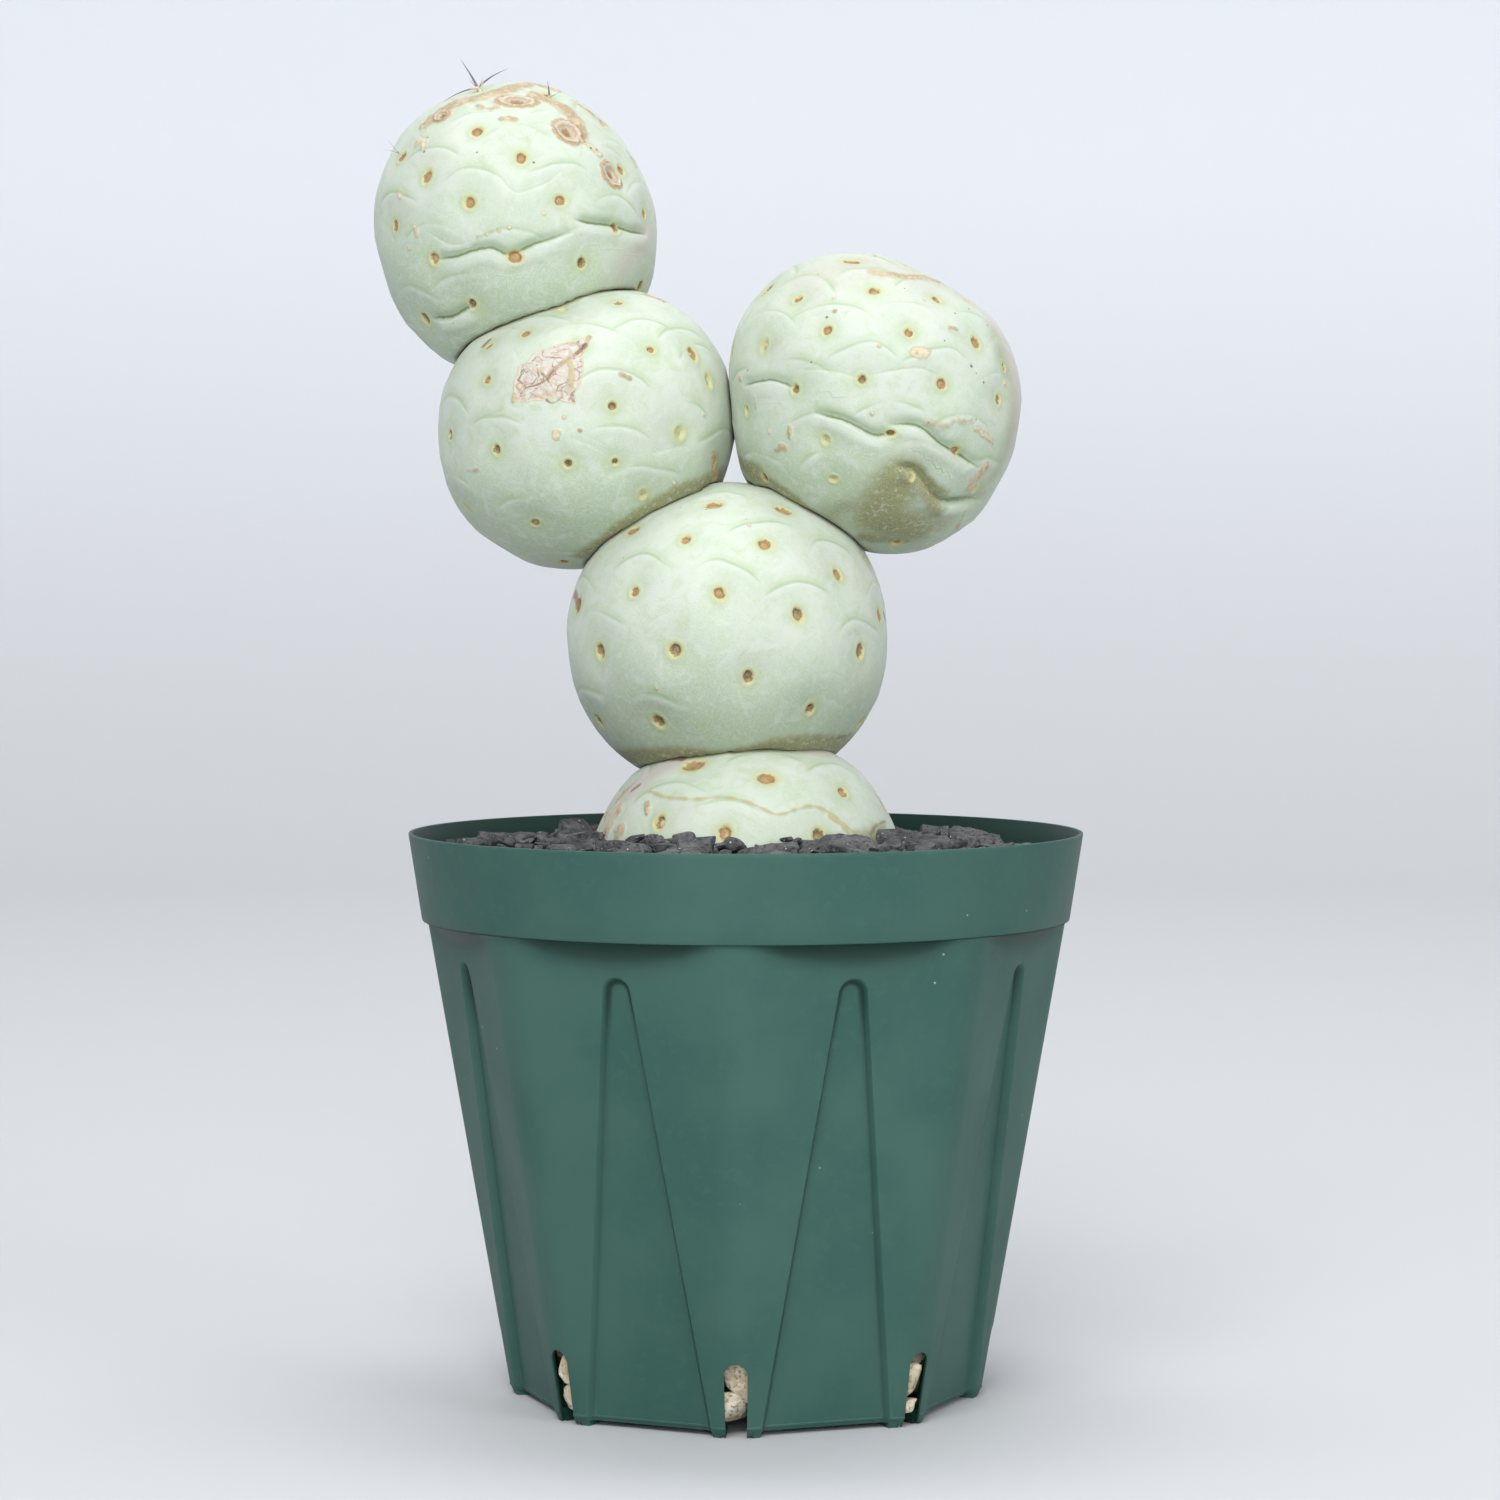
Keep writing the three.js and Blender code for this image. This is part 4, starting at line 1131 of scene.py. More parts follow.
    def seat_on(
        self, other: StemSegment, ways: Array, radii: Array
    ) -> Array:
        """Hollows the skin where it sits on another segment, with a soft edge.

        Args:
            other: the segment that this one sits on.
            ways: directions from the middle, one a row.
            radii: the free radius of each direction.

        Returns:
            The seated radius of each direction.
        """
        far = radii * self.seat_reach
        inside = np.zeros(len(radii))
        hit = np.full(len(radii), np.inf)
        for share in np.linspace(*self.seat_tries):
            reach = far * share
            gap = self.gap_to(other, self.middle + ways * reach[:, None])
            entered = (gap < self.seat_gap) & np.isinf(hit)
            inside = np.where(entered, reach, inside)
            hit = np.where(entered, 0, hit)
        rows = np.flatnonzero(hit == 0)
        high = inside[rows]
        low = high - far[rows] * self.seat_step
        for _ in range(self.seat_halvings):
            middle = (low + high) / 2
            gap = self.gap_to(other, self.middle + ways[rows] * middle[:, None])
            high = np.where(gap < self.seat_gap, middle, high)
            low = np.where(gap < self.seat_gap, low, middle)
        hit[rows] = high
        soft = self.seat_softness
        known = np.where(np.isinf(hit), self.no_seat, hit)
        blend = np.clip(0.5 + 0.5 * (known - radii) / soft, 0, 1)
        seat = np.where(np.isinf(hit), radii, hit)
        return seat * (1 - blend) + radii * blend - soft * blend * (1 - blend)

    def read_mark(self, mark: Mark, ways: Array, ragged: Array) -> Array:
        """How strongly a mark covers each direction.

        Args:
            mark: the mark.
            ways: directions from the middle, one a row.
            ragged: noise from -1 to 1 that frays the mark's edge.

        Returns:
            One value from 0 to 1 for each direction.
        """
        if mark.filled:
            path = np.array([self.seen_direction(*place, True) for place in mark.path])
            distance, _, _ = self.read_path(ways, np.vstack([path, path[:1]]))
            inside = self.inside_loop(ways, path)
            distance = np.where(inside, -distance, distance)
        else:
            distance, _, _ = self.read_path(ways, self.seen_path(mark.path, True))
        edge = distance + ragged * min(mark.soft, self.most_fray)
        covered = 1 - smooth_step(mark.width - mark.soft, mark.width + mark.soft, edge)
        return mark.strength * covered

    def inside_loop(self, ways: Array, loop: Array) -> Array:
        """Tells which directions the viewer sees inside a closed path.

        Args:
            ways: directions from the middle, one a row.
            loop: directions of the path's points.

        Returns:
            True for each direction inside.
        """
        x, z = ways @ self.right, ways @ self.up
        a, b = loop @ self.right, loop @ self.up
        inside = np.zeros(len(ways), bool)
        for i in range(len(loop)):
            j = i - 1
            crosses = (b[i] > z) != (b[j] > z)
            slope = (a[j] - a[i]) / ((b[j] - b[i]) or 1e-9)
            inside ^= crosses & (x < a[i] + (z - b[i]) * slope)
        return inside & (ways @ self.near > 0)

    def needs_detail(self, ways: Array, margin: float) -> Array:
        """Tells where the mesh has to be finer: at areoles, net lines, folds and marks.

        Args:
            ways: directions from the middle, one a row.
            margin: how far beyond them it has to be finer too.

        Returns:
            True for each direction that needs it.
        """
        needed = self.read_areoles(ways)["round"] < self.detail_at_areole + margin
        needed |= self.read_net(ways, margin)["net"] > self.detail_at_net
        for fold in self.folds:
            path = self.seen_path(fold.path, False)
            needed |= self.read_path(ways, path)[0] < self.detail_at_fold + margin
        for mark in self.marks:
            if mark.kind not in (MarkKind.SOIL, MarkKind.BLUSH):
                reach = mark.width + self.detail_at_mark + margin
                path = np.array([self.seen_direction(*place, True) for place in mark.path])
                needed |= self.read_path(ways, path)[0] < reach
                if mark.filled:
                    needed |= self.inside_loop(ways, path)
        return needed

    def model_ball(self) -> Piece:
        """Adds a ball and refines it twice where the skin has detail.

        Returns:
            The ball, of radius one about the origin.
        """
        deselect()
        bpy.ops.mesh.primitive_ico_sphere_add(subdivisions=self.fineness, radius=1)
        ball = bpy.context.object
        ball.name = self.name
        for margin in self.detail_margins:
            needed = self.needs_detail(unit(points_of(ball)), margin)
            starts = np.empty(len(ball.data.polygons), int)
            ball.data.polygons.foreach_get("loop_start", starts)
            corners = np.empty(len(ball.data.loops), int)
            ball.data.loops.foreach_get("vertex_index", corners)
            select_faces(ball, np.logical_or.reduceat(needed[corners], starts))
            bpy.ops.object.mode_set(mode="EDIT")
            bpy.ops.mesh.subdivide(number_cuts=1)
            bpy.ops.mesh.select_all(action="SELECT")
            bpy.ops.mesh.quads_convert_to_tris()
            end_edit()
        return ball

    def build(
        self, lower: list[StemSegment], touching: list[StemSegment], finish: CactusSkin
    ) -> Piece:
        """Models the segment, seats it and dresses it.

        Args:
            lower: the segments that it sits on.
            touching: every segment that it touches.
            finish: its finish.

        Returns:
            The finished piece.
        """
        ball = self.model_ball()
        ways = unit(points_of(ball))
        points = ways * self.radius
        found = self.read_areoles(ways)
        facts = {name: value[found["which"]] for name, value in self.pit_facts.items()}
        oval = found["oval"]
        net = self.read_net(ways)
        fold_height, fold_distance, fold_strength = self.fold_relief(ways)
        ragged = noise_at(points, RELIEF.fray_size, self.seed + 40)
        masks = {kind: np.zeros(len(ways)) for kind in MarkKind}
        for mark in self.marks:
            covered = self.read_mark(mark, ways, ragged)
            masks[mark.kind] = np.maximum(masks[mark.kind], covered)

        shallow = facts["PAD"] + facts["RINGED"] + facts["FAINT"]
        depth = RELIEF.pit_depth * (1 - shallow) + RELIEF.pad_depth * shallow
        pit = depth * (1 - smooth_step(RELIEF.pit_inner, RELIEF.pit_outer, oval))
        pit -= RELIEF.floor_dent * np.exp(-((oval / RELIEF.floor_radius) ** 2))
        rim = np.exp(-(((oval - RELIEF.rim_radius) / RELIEF.rim_width) ** 2))
        rim *= RELIEF.rim_height
        ring = np.exp(-(((oval - RELIEF.ring_radius) / RELIEF.ring_width) ** 2))
        rim = rim + RELIEF.ring_height * ring * facts["RINGED"]
        relief = fold_height - pit - RELIEF.dimple_depth * found["dent"] + rim
        relief += RELIEF.ridge_height * net["crest"] - RELIEF.net_depth * net["net"]
        relief += RELIEF.swell * noise_at(points, RELIEF.swell_size, self.seed)
        relief += RELIEF.ripple * noise_at(points, RELIEF.ripple_size, self.seed + 5)
        relief += RELIEF.pebble * noise_at(points, RELIEF.pebble_size, self.seed + 30)
        relief += RELIEF.wax_height * masks[MarkKind.WAX]
        crust = np.maximum(masks[MarkKind.CORK], masks[MarkKind.SCAB])
        relief += RELIEF.cork_height * crust * (
            1 + noise_at(points, RELIEF.cork_size, self.seed + 60)
        )
        torn = masks[MarkKind.PAPER]
        relief += torn * (1 - torn) - RELIEF.paper_sink * torn

        radii = self.body_radius(ways) + relief
        for other in lower:
            radii = self.seat_on(other, ways, radii)
        placed = self.middle + ways * radii[:, None]
        # Nearness to each touching segment, where shade is painted at the seam.
        seam_shade = np.zeros(len(ways))
        for other in touching:
            gap = np.maximum(self.gap_to(other, placed) - self.seat_gap, 0)
            seam_shade = np.maximum(seam_shade, np.exp(-gap / self.seam_reach))

        # How low on the segment each place is, which the skin reads for its greener, painted shade
        # below.
        sway = noise_at(points, self.low_sway_size, self.seed + 9)
        height = ways[:, 2] + self.low_sway * sway
        values = {
            "areole": oval,
            "halo": found["halo"],
            "pad": facts["PAD"],
            "ringed": facts["RINGED"],
            "faint": facts["FAINT"],
            **net,
            "fold": fold_distance,
            "fold_strength": fold_strength,
            "low": smooth_step(self.low_from, self.low_to, height),
            "seam_shade": seam_shade,
        }
        values.update({kind.value: mask for kind, mask in masks.items()})
        for name, value in values.items():
            write_attribute(ball, name, value)
        move_points(ball, turned(placed, PLANT_TURN) * MM)
        hand_over(ball, finish, self.replaced, 180)
        return ball


P, R, F = AreoleKind.PAD, AreoleKind.RINGED, AreoleKind.FAINT
CORK, SCAB, PAPER, STAIN = MarkKind.CORK, MarkKind.SCAB, MarkKind.PAPER, MarkKind.STAIN
SOIL, BLUSH, WAX, FLECK = MarkKind.SOIL, MarkKind.BLUSH, MarkKind.WAX, MarkKind.FLECK


def dots(kind: MarkKind, width: float, places: tuple[Pair, ...]) -> list[Mark]:
    """Makes one small round mark, of this radius, at each place."""
    return [Mark(kind, (place,), width, 0.25) for place in places]


BASE = StemSegment(
    name="segment_base",
    replaced="stem_1_base",
    centre=(0.3, -8, 119.5),
    outline=(27.8, 29.8, 32.6, 33.8, 30.7, 26.5, 23.8, 26.5, 31, 34.6, 32.6, 29.2),
    areoles=(
        Areole(4, 17.2, P, 1.2, 0.7), Areole(19.3, 14.2, P, 0.8, 0.9, -30),
        Areole(-11.3, 20.5, P, 1.5, 0.75), Areole(-16.8, 7.7, size=0.9), Areole(-4.2, 5.6, P, 0.95),
        Areole(13.8, 5.1, size=0.95), Areole(29.2, 12.5, P), Areole(-30, 9),
        Areole(-25.5, 14, P, 0.6),
    ),
    marks=(
        Mark(STAIN, ((-17.2, 22), (-13.5, 21.8)), 0.9),
        Mark(CORK, ((-31.5, 4.5), (-30, 8.2), (-28.2, 11)), 1.5, 0.9),
        Mark(CORK, ((-28.3, 4.5), (-27.2, 7.2)), 1.1, 0.7),
        Mark(CORK, ((-29.3, 13.4), (-26.8, 15.8), (-24.3, 17.4)), 0.5, 0.6, 0.8),
        Mark(CORK, ((-21.1, 12.4), (-21.1, 10.6)), 0.6, 0.4),
        Mark(SCAB, ((-18.2, 8.4),), 0.75, 0.4), Mark(BLUSH, ((17.4, 4.4), (18.8, 4.8)), 1, 0.8),
        Mark(WAX, ((17.6, 10.2), (20.5, 7.6), (22.4, 4.8)), 0.6, 0.5),
        Mark(BLUSH, ((-31.2, 10), (-27.6, 14.5), (-20, 19), (-12, 23.5)), 4, 3),
        Mark(BLUSH, ((-12.6, 23.8), (-6, 24.7), (6, 25), (16, 23.5)), 2.2, 2.4),
        *dots(STAIN, 0.4, ((-29.3, 12.8), (-24.9, 15.6), (-16.1, 22.2), (-32, 9.5), (23.4, 21.1))),
        *dots(SCAB, 0.7, ((-28.2, 7.3), (30, 12.3), (18.5, 23.2))),
        Mark(STAIN, ((-24.6, 15.9), (-23.2, 16.6)), 0.5, 0.4),
        Mark(SCAB, ((-29.8, 11.2), (-28.4, 13)), 0.7, 0.6),
        Mark(BLUSH, ((-7.1, 24.4), (-0.5, 24.7)), 1.4, 1.2),
        Mark(SOIL, ((18, 3), (24, 4), (30, 6)), 2.5, 2, 0.7),
        Mark(STAIN, ((26.7, 6.1), (28.1, 8.1), (30.3, 9)), 0.3, 0.3, 0.6),
        Mark(
            WAX,
            ((-20.3, 14.9), (-17.5, 13.8), (-14.8, 13.2), (-9.5, 12.3), (-4.9, 12.3), (-0.9, 11.2),
             (5.3, 9.2), (9.3, 10.5), (13, 11.6), (17, 10.7), (20.1, 8.5), (23.6, 5.9)),
            0.3, 0.4, 0.9,
        ),
    ),
    bare_below=-9,
    seed=1,
)
MIDDLE = StemSegment(
    name="segment_middle",
    replaced="stem_2_middle",
    centre=(-4.2, 1, 172.5),
    outline=(31.2, 32.4, 34.4, 35.6, 37.6, 38, 35, 38, 37.2, 35.6, 33.4, 30.4),
    areoles=(
        Areole(-20.2, 6.6, P, 0.75, 1), Areole(-1.7, 6.2, P, 0.9, 1.25, -30),
        Areole(15.3, 1.6, size=0.95, tall=1.4, lean=-20), Areole(-9.5, 18.9, P, 0.85, 1),
        Areole(8.5, 17.5, P, 1.05, 1), Areole(24.5, 10.5, P, 0.85, 1.3, -15),
        Areole(-3.3, 28.6, P, 1.3, 0.7), Areole(13.4, 26.5, P, 1.2, 1.5, -45),
        Areole(-22.2, 21.6, P, 1.1, 0.8), Areole(-32.7, 3.6, P, 1.1), Areole(-27, -6.3, size=1),
        Areole(-10.9, -5.9, size=0.95, tall=1), Areole(4.4, -11.4, size=0.85),
        Areole(17, -17.8, size=0.75), Areole(28.3, -6.2), Areole(33.6, 1.5, P),
        Areole(-26.6, -20.4, size=0.95), Areole(-14, -20.4, size=0.95, lean=-30),
    ),
    marks=(
        *dots(FLECK, 0.32, ((-9.8, 24.3), (-4.4, 24), (-22, 13.6), (4, 21.4))),
        *dots(SCAB, 0.35, ((4.5, 19.8), (-15.5, -14.5))),
        Mark(STAIN, ((-33.6, 6.7), (-33.1, 3.6)), 1.1, 0.8, 0.8),
        Mark(STAIN, ((-24.5, 19), (-20.2, 22.5)), 1, 0.8, 0.8),
        Mark(
            SOIL,
            ((-23.3, -30), (-14.9, -28.9), (-6, -27.6), (4, -26.5), (16.3, -26.5),
             (27, -26.9)),
            2, 1.9,
        ),
        Mark(STAIN, ((24.7, -25.4), (27.4, -24.9)), 0.5, 0.6, 0.6),
        Mark(BLUSH, ((24.7, 22), (28.5, 18.6)), 1.2, 1.2),
        Mark(FLECK, ((35, 2.2), (35.4, -0.4)), 0.3, 0.3),
    ),
    seed=2,
)
LEFT = StemSegment(
    name="segment_left",
    replaced="stem_3_left",
    centre=(-35.4, 11, 215.8),
    outline=(31.3, 33.3, 33.9, 33, 32.5, 30.7, 31.5, 33.3, 34.2, 33.5, 33.1, 29.6),
    areoles=(
        Areole(-13.9, 21.2, P, 0.75, 1), Areole(-1.5, 17.5, F, 0.5),
        Areole(13.5, 16.8, P, 0.6, 0.8), Areole(22.5, 16, P, 0.95), Areole(6.8, 28.5, P, 0.65, 0.7),
        Areole(-6, 28, F, 0.7, 0.7), Areole(-21.8, 18.1, P, 0.6, 1.25, 50),
        Areole(-21.7, 10.4, P, 0.6, 1), Areole(5.3, 4.8, size=0.65, tall=1),
        Areole(20, -1, F, 0.9, 1.1), Areole(5.9, -7.3, size=0.5, tall=1),
        Areole(-4.3, -7.6, size=0.62, tall=1), Areole(-19.6, -4.6, size=0.68, lean=-15),
        Areole(-30, -1.5, size=0.7), Areole(-11.4, -20.4, P, 0.65, 0.8, -30),
        Areole(-26, -17, F, 0.7), Areole(12, -14.5, F, 0.7), Areole(28, -7.5, F, 0.7),
        Areole(26.2, 10.2, F, 0.9, 1.5),
    ),
    folds=(
        Fold(((-26.7, 0.3), (-22, 2.3), (-16.1, 4.8)), 0.2),
        Fold(((-3.8, -2), (0, -3.3), (3.6, -5.3)), 0.22),
        Fold(((13.9, -5.3), (18, -4.4), (22.4, -3.5)), 0.2),
    ),
    marks=(
        Mark(
            PAPER,
            ((-16.1, 5.9), (-15.4, 9.8), (-14.1, 12.5), (-11.7, 13.2), (-10.4, 14.3), (-7.1, 15.7),
             (-3.3, 17.3), (0.6, 18.9), (-0.9, 16.6), (-1.3, 14.4), (-1.2, 11.5), (-1.8, 8.4),
             (-2.8, 6.6), (-2.5, 4.8), (-5.3, 5.8), (-8.3, 6.5), (-11.4, 6)),
            0.1, 0.35, filled=True,
        ),
        Mark(STAIN, ((-13.3, 8.6), (-8.7, 9.4), (-6.6, 11)), 0.16, 0.2, 0.9),
        Mark(CORK, ((-8, 10), (-6.5, 11.2), (-4.6, 12.9), (-2.1, 15.3)), 0.4, 0.3),
        Mark(WAX, ((-3.5, 12.9), (-3.2, 11.2), (-3.2, 8.5)), 0.6, 0.3),
        Mark(STAIN, ((-2.2, 15.3), (-0.7, 17)), 0.55, 0.4),
        Mark(CORK, ((-0.4, 17.6), (0.4, 18.9)), 0.4, 0.4, 0.7),
        Mark(WAX, ((-16.2, 5.8), (-15.8, 7.6)), 0.5, 0.5, 0.8),
        Mark(STAIN, ((-12.1, 12.8), (-11.2, 10.2)), 0.08, 0.2, 0.9),
        Mark(STAIN, ((-10.1, 12.5), (-9.9, 10.2)), 0.12, 0.2, 0.9),
        Mark(STAIN, ((-8.7, 15.1), (-8.5, 13.8), (-4.7, 13.6)), 0.12, 0.2, 0.9),
        Mark(STAIN, ((-7.2, 14.5), (-3.4, 16.4)), 0.08, 0.2, 0.8),
        Mark(STAIN, ((-9.9, 8.3), (-8.4, 6.9)), 0.08, 0.2, 0.7),
        Mark(STAIN, ((-8.8, 5.9), (-7.4, 5.3), (-5.2, 6.1)), 0.2, 0.25, 0.9),
        Mark(STAIN, ((-6.3, 7.3), (-4.9, 7.3), (-3.2, 6)), 0.12, 0.2, 0.7),
        Mark(STAIN, ((-14.9, 10.2), (-14.1, 9.6), (-13.4, 8.7), (-14.6, 7.4)), 0.14, 0.2, 0.9),
        Mark(STAIN, ((-22.8, 18), (-21.6, 19.2)), 0.5, 0.5, 0.8),
        Mark(STAIN, ((14, 29.5), (17.5, 28.4)), 0.7, 0.7, 0.7),
        Mark(SCAB, ((0.5, 30.9), (3, 30.9)), 0.6, 0.6, 0.8), Mark(SCAB, ((-14.7, 8.8),), 0.6, 0.5),
        Mark(SCAB, ((-6.9, -1), (-6.9, -1.8)), 0.65, 0.6),
        *dots(SCAB, 0.4, ((-5.1, 2.3), (25.4, 3), (18.5, -11.8))),
        *dots(CORK, 0.45, ((-1.8, -0.4), (23.1, 16.9))),
        Mark(CORK, ((7, 11.7), (9, 11)), 0.45, 0.4),
        Mark(CORK, ((27.8, -6.2), (28.3, -11.2)), 1.3, 1.1, 0.75),
        Mark(CORK, ((12.8, 29.6), (16.8, 28.1)), 0.5, 0.4),
        Mark(BLUSH, ((-0.7, 30.3), (2.9, 31)), 0.9, 0.8),
        Mark(CORK, ((-8.5, 23.6), (-5.8, 24.3)), 0.25, 0.3, 0.5),
        Mark(CORK, ((-26.7, -9.4), (-24.2, -9.2)), 0.3, 0.4, 0.6),
        Mark(
            SOIL,
            ((30.5, -10.3), (25.1, -12.1), (18.9, -13.9), (12.6, -16.8), (6.1, -21),
             (1.8, -25.1), (-1.8, -28)),
            1.9, 1.9, 0.9,
        ),
    ),
    seed=3,
)
RIGHT = StemSegment(
    name="segment_right",
    replaced="stem_4_right",
    centre=(28.6, 6, 221),
    outline=(33.4, 30.9, 32.8, 32.9, 32.9, 34.5, 33.2, 32.1, 33.2, 32.2, 35.1, 35.5),
    areoles=(
        Areole(-10, 15.8, P, 0.7, 1.15, 30), Areole(7.5, 15.4, P, 0.68, 1.1),
        Areole(22.5, 13.6, P, 0.9, 1.2), Areole(-16, 22, P, 0.6, 1.3, 50),
        Areole(0, 24.7, P, 0.85, 0.75, -20), Areole(14.2, 23.8, P, 0.75), Areole(-5, 31, P, 1, 0.5),
        Areole(-23.6, 12.5, F, 0.8, 1.5, 25), Areole(-17.7, 3.4, size=0.68),
        Areole(-2.7, 5.5, size=0.68, tall=1), Areole(15, 4.5, P, 0.8, 1.1),
        Areole(27.9, 1, P, 0.7, 1.3), Areole(-29.5, -1.5, F, 0.7), Areole(-10.8, -7.9, F, 0.65),
        Areole(3.8, -6.5, size=0.6, tall=0.6), Areole(18.5, -10.5, P, 0.7, 0.8),
        Areole(-9, -16.5, F, 0.6, 0.8), Areole(8.3, -16, F, 0.5), Areole(22.5, -19, F, 0.6),
        Areole(29.2, 8.3, size=0.6),
    ),
    folds=(
        Fold(((-13, -2), (-6, -4), (0, -7), (4, -6.5)), 1.6),
        Fold(((4, -4.5), (10, -5), (15, -9), (18.5, -11), (23, -14)), 1.6),
        Fold(((5.5, -14), (9, -15), (12, -18.5), (15, -21.5), (23.5, -21)), 2.4),
        Fold(((-16.5, 7.6), (-9.8, 7.4), (-3.6, 6)), 0.3),
        Fold(((-1.3, 6.4), (5.8, 7.6), (10.3, 7.9), (14.7, 6.3)), 0.35),
        Fold(((-29, 4.2), (-26.5, 4.8), (-22.3, 5.3), (-17.6, 3.5)), 0.9),
    ),
    marks=(
        Mark(CORK, ((0, 28.8), (4, 28.2), (7.2, 27.5), (10.9, 27.7), (14.3, 26.4)), 1.2, 1.2, 0.85),
        *dots(SCAB, 0.45, ((-8.9, 23.5), (10.3, 21.5), (1.1, 12.3), (-0.4, -2), (-23, -5.8))),
        *dots(CORK, 0.5, ((-8.7, 20.8), (-29.4, 5.6), (29, 4.5))),
        # A greyish-pink tint over the top: partly the skin's own tint, partly painted shade on the
        # top.
        Mark(BLUSH, ((-12, 28), (0, 31), (12, 27)), 8, 7, 0.6),
        Mark(STAIN, ((9.2, -15.6), (12, -18.6), (14.5, -21.3), (22.5, -21.3)), 0.15, 0.35, 0.8),
        Mark(SOIL, ((6.9, -13.6), (10.2, -14.8), (13, -17.6), (16, -20)), 1, 1.3, 0.7),
        Mark(CORK, ((15.4, 15.9), (17.2, 15.7)), 0.4, 0.4),
        Mark(SCAB, ((8.6, 10.5), (10.3, 10.5)), 1.2, 0.8),
        Mark(CORK, ((-18.5, -5.1), (-18.5, -7.3)), 0.5, 0.4, 0.8),
        Mark(CORK, ((-21.6, -10), (-19.6, -9.3)), 0.7, 0.6, 0.8),
        Mark(SCAB, ((22.3, -5.3), (25.9, -8.2)), 0.5, 0.5),
        Mark(CORK, ((17, -3.7), (19.2, -3.7), (21, -3.5)), 0.6, 0.7, 0.5),
        Mark(CORK, ((24.1, -14), (23, -16), (21.6, -18.2)), 1.4, 1.1, 0.9),
        Mark(CORK, ((19.9, -23.6), (18.5, -27.6)), 0.5, 0.6, 0.6),
        Mark(CORK, ((11.6, -4.2), (13.8, -4.4), (15.6, -4.6)), 0.8, 1, 0.55),
        Mark(CORK, ((-25.9, 1.4), (-25.9, -0.8)), 0.3, 0.4, 0.5),
        Mark(SOIL, ((5.5, -17.5), (3.4, -20.5), (1, -25), (8.3, -27.9)), 5.2, 6),
        Mark(SOIL, ((4, -15.6), (8.7, -16.6), (12, -20), (14, -24)), 1.6, 2.6),
        Mark(SOIL, ((-10, -24), (-4, -22), (15, -27)), 2.5, 5, 0.7),
        Mark(SOIL, ((-2, -29), (6.3, -30.5)), 2, 2),
        Mark(SOIL, ((-29.5, -13), (-25.2, -15.1)), 1.8, 1.6),
        Mark(
            SOIL,
            ((-27.6, -15.6), (-18.7, -19.1), (-12, -24.7), (-5.3, -30.3), (-0.9, -32.8)),
            1.5, 1.5, 0.9,
        ),
        Mark(BLUSH, ((20, 26), (29, 14), (32, 2), (31, -8)), 5, 5, 0.9),
        Mark(SOIL, ((26, 16), (30.5, 4), (29, -10), (24, -20)), 3.5, 4, 0.4),
        *dots(
            FLECK,
            0.28,
            ((-12.5, 28.8), (-2.2, 33.7), (0.2, 32.8), (6.5, 24.6), (17, 19), (20.3, 20.3),
             (24.6, 17), (14.7, 13.2), (21.2, 8.3), (22.3, 6.7), (23.9, 4.7), (29, 8.7),
             (-14.5, 9.6), (-27.9, 7.4), (-10.7, 19.7), (11.8, -4), (22.3, -3.3)),
        ),
    ),
    seed=4,
)
